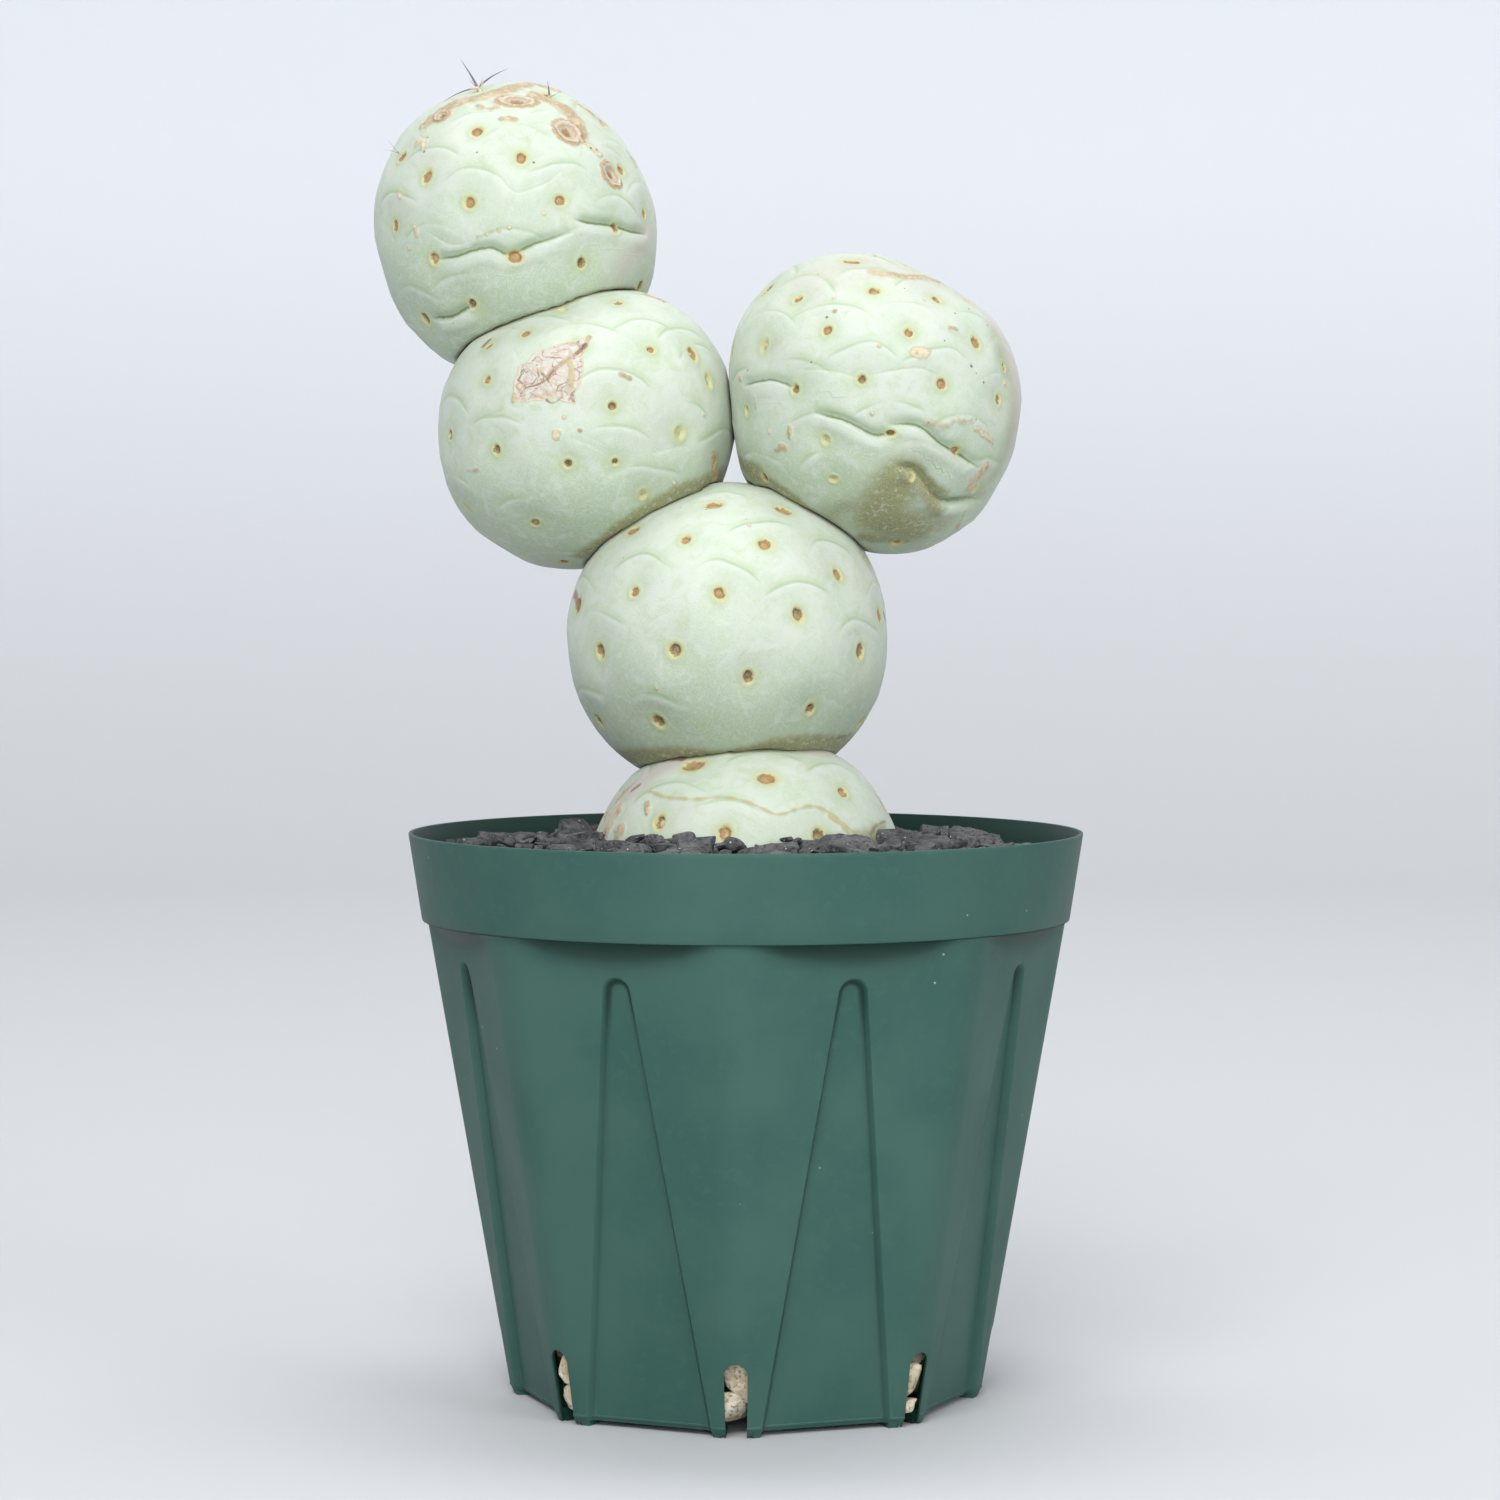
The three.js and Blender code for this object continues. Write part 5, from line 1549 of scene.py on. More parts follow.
TOP = StemSegment(
    name="segment_top",
    replaced="stem_5_top",
    centre=(-51.8, 22, 262.7),
    outline=(31.3, 30.5, 30, 31.6, 33.5, 33.1, 33.8, 35.4, 33.1, 32.2, 32.4, 31.8),
    areoles=(
        Areole(-9.1, 20.6, P, 0.9, 1.1, 30), Areole(1, 14.7, P, 0.95, 1.25, 15),
        Areole(-20.2, 10.1, P, 0.9, 1.5, 15), Areole(-10.7, 4.3, P, 0.88, 1),
        Areole(9.9, 4.9, P, 0.85, 0.9), Areole(-26, 14.5, P, 0.8, 1.2, 40),
        Areole(-27.6, -1, P, 0.8, 1.5), Areole(-18.6, -8.3, P, 0.8),
        Areole(-0.4, -7.8, P, 0.95, 0.75), Areole(14.3, -9, size=0.75),
        Areole(22.6, -1.4, size=0.72, tall=0.8, lean=-30), Areole(30, 2, P, 0.7),
        Areole(25.2, 12.6, P, 0.8), Areole(-9.8, -17.9, size=0.7), Areole(-20, -21, size=0.9),
        Areole(12.1, 21.3, R, 1.05, 1.1, -40), Areole(22.6, 11.3, R, 0.95, 1.1, -40),
        Areole(0.1, 28.1, R, 1.05, 0.6), Areole(-17, 24, R, 0.6, 0.9), Areole(-9, 30.5, P, 0.8),
        Areole(7.5, 30, P, 0.8),
    ),
    folds=(
        Fold(
            ((-18, -8.5), (-14, -8), (-9.5, -6.5), (-5.6, -6), (-1.5, -7.5), (4, -5), (11.5, -2.5)),
            1.5,
        ),
        Fold(((13.5, 0.5), (16.5, -0.3), (22, -0.9), (26, -2.2), (29.5, -2.8)), 1.7),
        Fold(((-18, -21), (-14, -20.6), (-10, -18.5)), 1.4),
        Fold(((-19.2, -2.8), (-15.1, -5), (-11.1, -4.8)), 0.3),
        Fold(((-4.7, 11.3), (-1.6, 7.6), (0.7, 6.7), (6.4, 8.8), (9.8, 11.3)), 0.3),
    ),
    marks=(
        Mark(
            CORK,
            ((-20.1, 21.9), (-18.3, 23.5), (-16, 25), (-13.3, 26.4), (-7.4, 28), (-0.9, 30)),
            1.9, 1.3,
        ),
        Mark(CORK, ((-1.5, 29.5), (3.5, 30.8), (8.8, 29.4)), 1.6, 1.3, 0.9),
        Mark(CORK, ((4.5, 28.4), (7.9, 26.9), (11.1, 24.8), (13, 22.5), (14.2, 19.5)), 2, 1.5),
        Mark(CORK, ((-8.8, 25.8), (-6.5, 25.1), (-4.3, 25.3)), 0.6, 0.7, 0.7),
        Mark(SCAB, ((14.2, 17.8), (15.4, 17.2), (17, 15.8), (18.4, 14.8)), 0.75, 0.7, 0.9),
        *dots(FLECK, 0.35, ((14.9, 17.6), (16.2, 16.1), (17.6, 15.9))),
        Mark(CORK, ((13.5, 26.3), (17, 24.4), (20, 22.2)), 0.9, 0.9, 0.8),
        Mark(STAIN, ((24.5, 15.6), (26, 14), (27.4, 12.6)), 0.4, 0.5, 0.6),
        Mark(BLUSH, ((-5.5, 26.6), (-2.5, 27.3)), 1.2, 0.8),
        Mark(CORK, ((-3.2, 22.8), (-0.7, 22.6)), 0.75, 0.6, 0.9),
        *dots(SCAB, 0.45, ((5.7, 1.8), (-24, -5.9), (-6.8, -2.8), (-4, -1.9), (-1.8, -1.4))),
        Mark(SCAB, ((-22.6, -1.4), (-22.2, -3)), 0.45, 0.4),
        Mark(SCAB, ((-26.2, 6.5), (-25.8, 5.2)), 0.5, 0.5),
        Mark(SCAB, ((-22.4, 17.2), (-20.6, 18.3), (-21, 16.2)), 0.6, 0.8),
        Mark(CORK, ((25.1, 14.4), (26.5, 12.2)), 0.5, 0.5, 0.8),
        Mark(CORK, ((-8.8, -3.2), (-4.7, -2.1)), 0.2, 0.5, 0.4),
        Mark(BLUSH, ((27.9, -6.4), (30.1, -0.7), (23.3, -10.9)), 3, 7),
        *dots(FLECK, 0.3, ((-19.8, 18.6), (-20.6, 15.4), (-8.9, 15.3), (3.8, 13.1))),
    ),
    seed=5,
)


def octagon_radius(corner: float, angle: Array, share: float, sector: float) -> Array:
    """Distance from the axis to an octagon with rounded corners.

    Args:
        corner: distance from the axis to its corners.
        angle: angles from a corner, in radians.
        share: the corners' fillet radius as a share of the corner distance.
        sector: the angle of one side.

    Returns:
        One distance for each angle.
    """
    half = sector / 2
    away = np.abs(angle - sector * np.round(angle / sector))
    fillet = share * corner
    middle = corner - fillet
    tangent = math.atan2(fillet * math.sin(half), middle + fillet * math.cos(half))
    round_part = middle * np.cos(away) + np.sqrt(
        np.maximum(fillet**2 - (middle * np.sin(away)) ** 2, 0)
    )
    flat_part = (middle * math.cos(half) + fillet) / np.cos(half - away)
    return np.where(away < tangent, round_part, flat_part)


@dataclass
class SlitPot:
    """The nursery pot: one closed skin swept over its outside, rim and inside."""

    height: float = 126.0
    rim_radius: float = 75.0
    rim_edge: float = 1.0
    wall: float = 1.4
    band_bottom: float = 106.7
    band_radius: float = 72.0
    foot_radius: float = 52.6
    flare: float = 0.174
    corner_share: float = 0.2
    flare_share: float = 0.95
    chamfer: float = 0.6
    mould_line: float = 2.0
    foot_height: float = 1.2
    floor_top: float = 2.8
    feet_inner_radius: float = 42.0
    recess_top: float = 98.5
    recess_tip: float = 2.9
    recess_foot: float = 14.6
    recess_depth: float = 1.7
    recess_edge: float = 0.5
    slit_width: float = 5.1
    slit_foot_width: float = 4.4
    slit_top: float = 16.4
    slit_inner_radius: float = 36.0
    lip: float = 0.9
    lip_width: float = 0.9
    # How strong the painted shade is under the band and in the recess pockets, and how it fades.
    under_shade: float = 0.9
    pocket_shade: float = 0.9
    pocket_rim: float = 1.1
    pocket_low: float = 0.4
    pocket_fade: Pair = (14, 3)
    under_fade: Pair = (1.6, 0.2)
    overhang_fade: Pair = (0.9, 2.6)
    least_half: float = 0.9
    cutter_overlap: float = 2.0
    slit_reach: float = 6.0
    bar_reach: float = 12.0
    sectors: int = 8
    inside_shares: tuple[float, ...] = (0, 0.25, 0.5, 0.75)
    edge_steps: tuple[float, ...] = (-0.9, -0.6, -0.35, -0.1, 0.15, 0.4, 0.65, 0.95)
    outside_shares: tuple[float, ...] = (0.2, 0.45, 0.7, 1)
    corner_shares: tuple[float, ...] = (0.2, 0.4, 0.6, 0.8, 1)
    lower_rows: tuple[float, ...] = (6, 12, 20, 30, 40, 50, 60, 70, 78, 84, 88, 91, 93)
    tip_rows: Triple = (94, 100.2, 0.35)
    flare_rows: tuple[float, float, int] = (0, 0.985, 12)
    inner_flare_rows: tuple[float, float, int] = (1, 0, 5)
    band_edge: tuple[Pair, ...] = ((0, 0.32), (0.12, 0.12), (0.35, 0))
    band_rows: tuple[float, ...] = (111, 116, 121, 125)
    inner_band_rows: tuple[float, ...] = (121, 115, 110)
    inner_band_draft: float = 0.02
    inner_rows: tuple[float, ...] = (100, 97, 93, 85, 65, 45, 25, 10)
    base_discs: Pair = (0.6, 25)
    floor_discs: Pair = (30, 0.6)

    def __post_init__(self) -> None:
        """Works out the angle of one side, and how far out its middle is for its corners."""
        self.sector = TURN / self.sectors
        self.side_share = (1 - self.corner_share) * math.cos(self.sector / 2) + self.corner_share

    def corner_radius(self, z: float) -> float:
        """Distance of a corner of the body from the axis at a height."""
        return self.foot_radius + self.flare * z

    def recess_half(self, z: float) -> float:
        """Half width of the recess at a height, along its straight edge."""
        slope = (self.recess_foot - self.recess_tip) / (self.recess_top - self.recess_tip)
        return max(self.recess_foot - slope * z, self.recess_tip * self.least_half)

    def recess_share(self, across: Array, z: float, grown: float) -> Array:
        """How far into the recess each place is, from 0 outside to 1 on its floor.

        Args:
            across: distance from the side's middle line.
            z: the height.
            grown: how much the recess is grown outwards.

        Returns:
            One share for each place.
        """
        foot, tip = self.recess_foot + grown, self.recess_tip + grown
        middle = self.recess_top - self.recess_tip
        reach = math.hypot(foot, middle)
        lean = math.atan2(foot, middle) - math.asin(tip / reach)
        edge = (np.abs(across) - foot) * math.cos(lean) + z * math.sin(lean)
        along = (middle - z) * math.cos(lean) + np.abs(across) * math.sin(lean)
        cap = np.hypot(across, z - middle) - tip
        outside = np.where(along < 0, cap, edge)
        return 1 - smooth_step(-self.recess_edge, self.recess_edge, outside)

    def column_angles(self, z: float) -> Array:
        """Angle of each column of the skin at a height.

        Columns stay close together along the slanting edges of the recesses and round the corners.

        Args:
            z: the height.

        Returns:
            One angle for each column, counted from the corner at +X.
        """
        z = min(max(z, 0.0), self.band_bottom)
        corner = self.corner_radius(z)
        flat = self.side_share * corner
        half = self.recess_half(z)
        fillet = self.corner_share * corner
        reach = flat * math.tan(self.sector / 2) - fillet * math.tan(self.sector / 2)
        first, last = half + self.edge_steps[0], half + self.edge_steps[-1]
        across = [share * first for share in self.inside_shares]
        across += [half + step for step in self.edge_steps]
        across += [last + share * (reach - last) for share in self.outside_shares]
        turns = [math.atan2(place, flat) for place in across]
        edge = math.atan2(reach, flat)
        turns += [edge + share * (self.sector / 2 - edge) for share in self.corner_shares]
        ring = np.array([-t for t in turns[:0:-1]] + turns[:-1])
        middles = (np.arange(self.sectors) + 0.5) * self.sector
        return np.sort(np.mod((middles[:, None] + ring[None, :]).ravel() + TURN / 2, TURN))

    def body_row(self, z: float, inset: float, grown: float = 0.0) -> Array:
        """A ring of the eight-sided body with its recesses.

        Args:
            z: its height.
            inset: how far it is moved in.
            grown: how much the recesses are grown outwards.

        Returns:
            The ring's points, one a row.
        """
        angles = self.column_angles(z)
        radius = octagon_radius(self.corner_radius(z), angles, self.corner_share, self.sector)
        side = np.mod(angles, self.sector) - self.sector / 2
        across = radius * np.sin(side)
        depth = self.recess_depth * self.recess_share(across, z, grown)
        radius = radius - (inset + depth) / np.cos(side)
        return self.ring(angles, radius, np.full(len(angles), z))

    def flare_row(self, t: float, inset: float, lift: float) -> Array:
        """A ring of the fillet that flares out from the body to the band.

        Args:
            t: the share of the way up the fillet.
            inset: how far it is moved in.
            lift: how far it is moved up.

        Returns:
            The ring's points, one a row.
        """
        angles = self.column_angles(self.band_bottom)
        top = octagon_radius(
            self.corner_radius(self.band_bottom), angles, self.corner_share, self.sector
        )
        rise = math.sin(t * math.pi / 2)
        share = 1 - math.sqrt(max(1 - rise * rise, 0))
        z = self.band_bottom + lift - (self.band_radius - top) * self.flare_share * (1 - rise)
        corner = self.foot_radius + self.flare * z
        octagon = corner * octagon_radius(1.0, angles, self.corner_share, self.sector)
        return self.ring(angles, octagon + (self.band_radius - octagon) * share - inset, z)

    def band_row(self, z: float, inset: float) -> Array:
        """A ring of the round band under the rim.

        Args:
            z: its height.
            inset: how far it is moved in.

        Returns:
            The ring's points, one a row.
        """
        angles = self.column_angles(self.band_bottom)
        share = (z - self.band_bottom) / (self.height - self.band_bottom)
        radius = self.band_radius + share * (self.rim_radius - self.band_radius) - inset
        return self.ring(angles, np.full(len(angles), radius), np.full(len(angles), z))

    def inside_radius(self, angles: Array, z: Array) -> Array:
        """Distance from the axis to the inside of the body's wall.

        Args:
            angles: angles from the corner at +X.
            z: the heights.

        Returns:
            One distance for each place.
        """
        octagon = octagon_radius(1.0, angles, self.corner_share, self.sector)
        radius = (self.foot_radius + self.flare * z) * octagon
        side = np.mod(angles, self.sector) - self.sector / 2
        depth = self.recess_depth * self.recess_share(radius * np.sin(side), z, self.wall)
        return radius - (self.wall + depth) / np.cos(side)

    def disc_row(self, radius: float, z: float) -> Array:
        """A round ring of the base or the floor."""
        angles = self.column_angles(0)
        return self.ring(angles, np.full(len(angles), radius), np.full(len(angles), z))

    def ring(self, angles: Array, radius: Array, z: Array) -> Array:
        """Stacks angles, radii and heights to points, one a row."""
        return np.stack([radius * np.cos(angles), radius * np.sin(angles), z], 1)

    def rows(self) -> list[Array]:
        """Every ring of the skin, from the middle of the base, over the rim, to the floor.

        Returns:
            The rings.
        """
        line, top, rim, wall = self.mould_line, self.height, self.rim_edge, self.wall
        foot = (
            (0, self.chamfer), (line - 0.15, 0.05), (line, -0.12), (line + 0.3, -0.12),
            (line + 0.5, 0),
        )
        edge = ((0.3, 0), (0.08, 0.1), (0, 0.3), (0, rim - 0.3), (0.08, rim - 0.1), (0.3, rim))
        rows = [self.disc_row(radius, 0) for radius in self.base_discs]
        rows += [self.body_row(z, inset) for z, inset in foot]
        rows += [self.body_row(z, 0) for z in self.lower_rows]
        rows += [self.body_row(z, 0) for z in np.arange(*self.tip_rows)]
        rows += [self.flare_row(t, 0, 0) for t in np.linspace(*self.flare_rows)]
        rows += [self.band_row(self.band_bottom + z, inset) for z, inset in self.band_edge]
        rows += [self.band_row(z, 0) for z in self.band_rows]
        rows += [self.band_row(top - down, inset) for down, inset in edge]
        rows += [
            self.band_row(z, rim + self.inner_band_draft * (top - z)) for z in self.inner_band_rows
        ]
        rows += [self.flare_row(t, wall, wall) for t in np.linspace(*self.inner_flare_rows)]
        rows += [self.body_row(z, wall, wall) for z in (*self.inner_rows, self.floor_top)]
        rows += [self.disc_row(radius, self.floor_top) for radius in self.floor_discs]
        return rows

    def sweep(self) -> Piece:
        """Extrudes a ring once for each row, sets the rows in place and closes both ends.

        Returns:
            The closed pot, without its slits.
        """
        rows = self.rows()
        count = len(rows[0])
        deselect()
        bpy.ops.mesh.primitive_circle_add(vertices=count, radius=1, location=(0, 0, 0))
        pot = bpy.context.object
        bpy.context.tool_settings.mesh_select_mode = (True, False, False)
        edit_all()
        bpy.ops.mesh.edge_face_add()
        for _ in rows[1:]:
            bpy.ops.mesh.extrude_region_move(TRANSFORM_OT_translate={"value": (0, 0, 1)})
        end_edit()
        drawn = points_of(pot)
        level = np.rint(drawn[:, 2]).astype(int)
        angle = np.mod(np.arctan2(drawn[:, 1], drawn[:, 0]) + TURN / 4 - 1e-4, TURN)
        placed = np.empty_like(drawn)
        for number, row in enumerate(rows):
            members = np.flatnonzero(level == number)
            placed[members[np.argsort(angle[members])]] = row
        move_points(pot, placed * MM)
        face_outwards(pot)
        return pot

    def slit_cutter(self, corner: int, wider: float = 0.0, skin: float = 0.0) -> Piece:
        """Models the block that cuts one slit, with its round top.

        Args:
            corner: the number of the corner that it cuts.
            wider: how much wider than the slit it is on each side.
            skin: how much of the wall it leaves outside itself, or 0 to cut through.

        Returns:
            The block.
        """
        middle = self.slit_top - self.slit_width / 2
        inner = self.foot_radius - self.cutter_overlap if skin else self.slit_inner_radius
        outer = self.corner_radius(self.slit_top) + self.slit_reach
        deselect()
        bpy.ops.mesh.primitive_cylinder_add(
            vertices=32,
            radius=(self.slit_width / 2 + wider) * MM,
            depth=(outer - inner) * MM,
            location=((outer + inner) / 2 * MM, 0, middle * MM),
            rotation=(0, math.pi / 2, 0),
        )
        block = bpy.context.object
        bpy.ops.object.transform_apply(location=True, rotation=True, scale=True)
        x, y, z = (points_of(block) / MM).T
        low = z < middle - 0.01
        centred = np.abs(y) < 1e-4
        y = np.where(low, np.sign(y) * (self.slit_foot_width / 2 + wider), y)
        y = np.where(centred, 0, y)
        z = np.where(low, -self.floor_top, z)
        if skin:
            x = np.where(x > outer - 1, self.corner_radius(z) - skin, x)
        move_points(block, turned(np.stack([x, y, z], 1), corner * self.sector) * MM)
        apply_modifier(block, "WELD", merge_threshold=1e-6)
        return block

    def underside_cutters(self) -> list[Piece]:
        """Models what is cut away under the base, so that only the feet touch down.

        Returns:
            A disc, and the bars under the sides.
        """
        deselect()
        deep = 2 * self.foot_height * MM
        bpy.ops.mesh.primitive_cylinder_add(
            vertices=96, radius=self.feet_inner_radius * MM, depth=deep
        )
        cutters = [bpy.context.object]
        bars = []
        inner = self.feet_inner_radius - self.cutter_overlap
        outer = self.foot_radius + self.bar_reach
        for side in range(self.sectors):
            turn = (side + 0.5) * self.sector
            place = (inner + outer) / 2 * MM
            bpy.ops.mesh.primitive_cube_add(
                size=1,
                location=(place * math.cos(turn), place * math.sin(turn), 0),
                rotation=(0, 0, turn),
                scale=((outer - inner) * MM, 2 * self.recess_foot * MM, deep),
            )
            bars.append(bpy.context.object)
        cutters.append(join(bars, "underside_bars"))
        return cutters

    def mark_shade(self, pot: Piece) -> None:
        """Marks where shade is painted on the plastic: inside, in the slits and pockets, and under
        the band.

        Args:
            pot: the pot.
        """
        x, y, z = (points_of(pot) / MM).T
        reach, angle = np.hypot(x, y), np.arctan2(y, x)
        octagon = octagon_radius(1.0, angle, self.corner_share, self.sector)
        rise = (z - self.band_bottom) / (self.height - self.band_bottom)
        band = self.band_radius + rise * (self.rim_radius - self.band_radius)
        # Painted shade inside the pot and on the cut edges of the slits.
        in_body = (reach < self.inside_radius(angle, z) + self.wall / 2) & (z > self.foot_height)
        inside = np.where(z > self.band_bottom, reach < band - self.rim_edge * 0.7, in_body)
        beside = np.abs(angle - self.sector * np.round(angle / self.sector)) * reach
        slit = (beside < self.slit_width / 2 + self.lip_width) & (z < self.slit_top + self.lip)
        slit &= reach < self.corner_radius(z) * octagon - self.lip / 2
        # Painted shadow under the band, longest where the band overhangs the sides most.
        overhang = self.band_radius - self.corner_radius(self.band_bottom) * octagon
        under = smooth_step(*self.under_fade, (self.band_bottom - z) / overhang)
        under = under * smooth_step(*self.overhang_fade, overhang) * (z < self.band_bottom + 0.05)
        # Painted shade in a strip inside each recess's edge, strongest near its tip.
        across = reach * np.sin(np.mod(angle, self.sector) - self.sector / 2)
        share = self.recess_share(across, z, 0.0)
        pocket = share - self.recess_share(across, z, -self.pocket_rim)
        low, high = (self.recess_top - down for down in self.pocket_fade)
        pocket *= self.pocket_low + (1 - self.pocket_low) * smooth_step(low, high, z)
        pocket *= z < self.recess_top + 1
        shade = np.maximum(under * self.under_shade, pocket * self.pocket_shade)
        write_attribute(pot, "shade", np.maximum(shade, inside | slit))

    def build(self, finish: PotPlastic) -> Piece:
        """Models the pot, cuts its slits and feet, and dresses it.

        Args:
            finish: its finish.

        Returns:
            The finished piece.
        """
        pot = self.sweep()
        corners = range(self.sectors)
        slits = join([self.slit_cutter(corner) for corner in corners], "slit_blocks")
        thin = [self.slit_cutter(corner, self.lip_width, self.lip) for corner in corners]
        for cutter in [slits, join(thin, "slit_lips"), *self.underside_cutters()]:
            apply_modifier(
                pot, "BOOLEAN", object=cutter, operation="DIFFERENCE", solver="MANIFOLD"
            )
            bpy.data.objects.remove(cutter)
        pot.name = "slit_pot"
        self.mark_shade(pot)
        hand_over(pot, finish, "pot", 32)
        return pot


@dataclass
class RockFill:
    """Loose rock of one kind: a few pieces are modelled, and copies of them are scattered."""

    seed: int
    shapes: int = 7
    cuts: int = 9
    cut_depth: Pair = (0.5, 0.85)
    bevel: float = 0.1
    voxel: float = 0.23
    merge: float = 0.12
    coarse_size: float = 0.45
    fine_size: float = 0.17
    fine_share: float = 0.6
    roughness: float = 0.12

    def __post_init__(self) -> None:
        """Starts the stream of random numbers."""
        self.random = np.random.default_rng(self.seed)

    def model_shape(self, rough: bool = False) -> Piece:
        """Models one broken piece: a block with sides cut off at random and its edges softened.

        Args:
            rough: whether its faces are divided and roughened too.

        Returns:
            The piece, about two units across.
        """
        deselect()
        bpy.ops.mesh.primitive_cube_add(size=2)
        rock = bpy.context.object
        bpy.ops.object.mode_set(mode="EDIT")
        for _ in range(self.cuts):
            bpy.ops.mesh.select_all(action="SELECT")
            way = unit(self.random.normal(size=3))
            place = way * self.random.uniform(*self.cut_depth)
            bpy.ops.mesh.bisect(
                plane_co=tuple(place), plane_no=tuple(way), use_fill=True, clear_outer=True
            )
        bpy.ops.mesh.select_all(action="SELECT")
        bpy.ops.mesh.remove_doubles(threshold=self.merge)
        bpy.ops.mesh.normals_make_consistent(inside=False)
        end_edit()
        apply_modifier(
            rock, "BEVEL", width=self.bevel, segments=1, limit_method="ANGLE", angle_limit=0.4
        )
        if rough:
            self.roughen(rock)
        return rock

    def roughen(self, rock: Piece) -> None:
        """Divides a piece's faces evenly and pits them.

        Args:
            rock: the piece.
        """
        apply_modifier(rock, "REMESH", mode="VOXEL", voxel_size=self.voxel)
        points = points_of(rock)
        seed = self.random.uniform(0, 50)
        bumps = noise_at(points, self.coarse_size, seed)
        bumps = bumps + self.fine_share * noise_at(points, self.fine_size, seed + 9)
        move_points(rock, points * (1 + self.roughness * bumps)[:, None])

    def any_turn(self, tilt: float) -> Array:
        """A random turn about the upright, tilted at random by this angle at most."""
        spans = ((-tilt, tilt), (-tilt, tilt), (0, TURN))
        return np.array([self.random.uniform(*span) for span in spans])

    def copy_at(
        self, shape: Piece, place: Array, size: Array, turn: Array
    ) -> Piece:
        """Copies a modelled piece to a place, with its own mesh.

        Args:
            shape: the modelled piece.
            place: where its middle goes, in millimetres.
            size: its half sizes, in millimetres.
            turn: its turn about each axis, in radians.

        Returns:
            The copy.
        """
        copied = shape.copy()
        copied.data = shape.data.copy()
        copied.location = place * MM
        copied.scale = size * MM
        copied.rotation_euler = turn
        bpy.context.scene.collection.objects.link(copied)
        return copied


@dataclass(frozen=True)
class ChipSize:
    """Chips of one size: the places they may take, their half lengths, and how deep they lie."""

    places: int
    half_length: Pair
    sink: Pair
    rough: bool = False


@dataclass
class GritMound(RockFill):
    """The mound of lava grit: a bed with chips of three sizes scattered over it."""

    top: float = 125.4
    edge: float = 117.5
    shoulder: float = 30.0
    radius: float = 73.6
    tilt: float = 0.06
    tilt_lost: float = 0.6
    bed_depth: float = 2.0
    bottom: float = 106.4
    bottom_radius: float = 69.5
    wall_radius: float = 70.9
    wall_flare: float = 0.155
    wall_from: float = 108.4
    bed_cuts: int = 9
    bed_flare: float = 0.04
    bed_least: float = 3.0
    lump: float = 1.2
    lump_size: float = 7.0
    chip_sizes: tuple[ChipSize, ...] = (
        ChipSize(130, (4.4, 7.4), (0.8, 2.2), rough=True),
        ChipSize(260, (2.0, 4.0), (0.0, 1.4)),
        ChipSize(420, (0.8, 1.8), (-0.5, 0.8)),
    )
    chip_ring: Pair = (24, 72.5)
    chip_flat: Pair = (0.36, 0.58)
    chip_wide: Pair = (0.65, 0.95)
    chip_tilt: float = 0.35
    sway: float = 0.08
    wall_room: float = 0.85
    plant_room: float = 0.25

    def height_at(self, x: Array, y: Array) -> Array:
        """Height of the mound at a place.

        Args:
            x: places along X.
            y: places along Y.

        Returns:
            One height for each place.
        """
        reach = (np.hypot(x, y) - self.shoulder) / (self.radius - self.shoulder)
        t = np.clip(reach, 0, 1)
        tilt = self.tilt * (1 - self.tilt_lost * t)
        return self.top - (self.top - self.edge) * t * t - tilt * y

    def room_at(self, z: Array) -> Array:
        """Radius of the room inside the pot's band at a height."""
        return self.wall_radius + self.wall_flare * (z - self.wall_from)

    def model_bed(self) -> Piece:
        """Models the closed bed under the chips, from a disc extruded and shaped.

        Returns:
            The bed.
        """
        deselect()
        bpy.ops.mesh.primitive_cylinder_add(
            vertices=72, radius=self.bottom_radius * MM, depth=2 * MM, end_fill_type="TRIFAN"
        )
        bed = bpy.context.object
        edit_all()
        bpy.ops.mesh.subdivide(number_cuts=self.bed_cuts)
        end_edit()
        points = points_of(bed) / MM
        upper = points[:, 2] > 0.9
        grown = 1.0 + self.bed_flare * (points[:, 2] + 1) / 2
        points[:, :2] *= grown[:, None]
        lump = self.lump * noise_at(points, self.lump_size, 31.0)
        top = self.height_at(points[:, 0], points[:, 1]) - self.bed_depth + lump
        share = (points[:, 2] + 1) / 2
        high = np.maximum(top, self.bottom + self.bed_least)
        points[:, 2] = self.bottom + share * (high - self.bottom)
        points[upper, 2] = top[upper]
        move_points(bed, points * MM)
        return bed

    def scatter(self, shapes: list[Piece], chips: ChipSize, plant: StemSegment) -> list[Piece]:
        """Scatters chips of one size by a sunflower rule with a little chance in it.

        Args:
            shapes: the modelled chips.
            chips: their size.
            plant: the base segment, which the chips keep clear of.

        Returns:
            The chips.
        """
        made = []
        least, most = self.chip_ring
        for i in range(chips.places):
            share = (i + self.random.uniform(0.1, 0.9)) / chips.places
            length = self.random.uniform(*chips.half_length)
            radius = math.sqrt(least**2 + share * (most**2 - least**2))
            angle = i * GOLDEN_ANGLE + self.random.uniform(-self.sway, self.sway) + length
            x, y = radius * math.cos(angle), radius * math.sin(angle)
            z = float(self.height_at(np.array(x), np.array(y))) - self.random.uniform(*chips.sink)
            flat = self.random.uniform(*self.chip_flat)
            wide = self.random.uniform(*self.chip_wide)
            room = float(self.room_at(np.array(z))) - length * self.wall_room
            if radius > room:
                x, y = x * room / radius, y * room / radius
            away = np.array([[x, y, z]]) - plant.middle
            reach = float(np.linalg.norm(away))
            skin = float(plant.body_radius(away / reach)[0])
            if reach < skin + length * self.plant_room:
                continue
            turn = self.any_turn(self.chip_tilt)
            size = np.array([length, wide * length, flat * length])
            shape = shapes[int(self.random.integers(len(shapes)))]
            made.append(self.copy_at(shape, np.array([x, y, z]), size, turn))
        return made

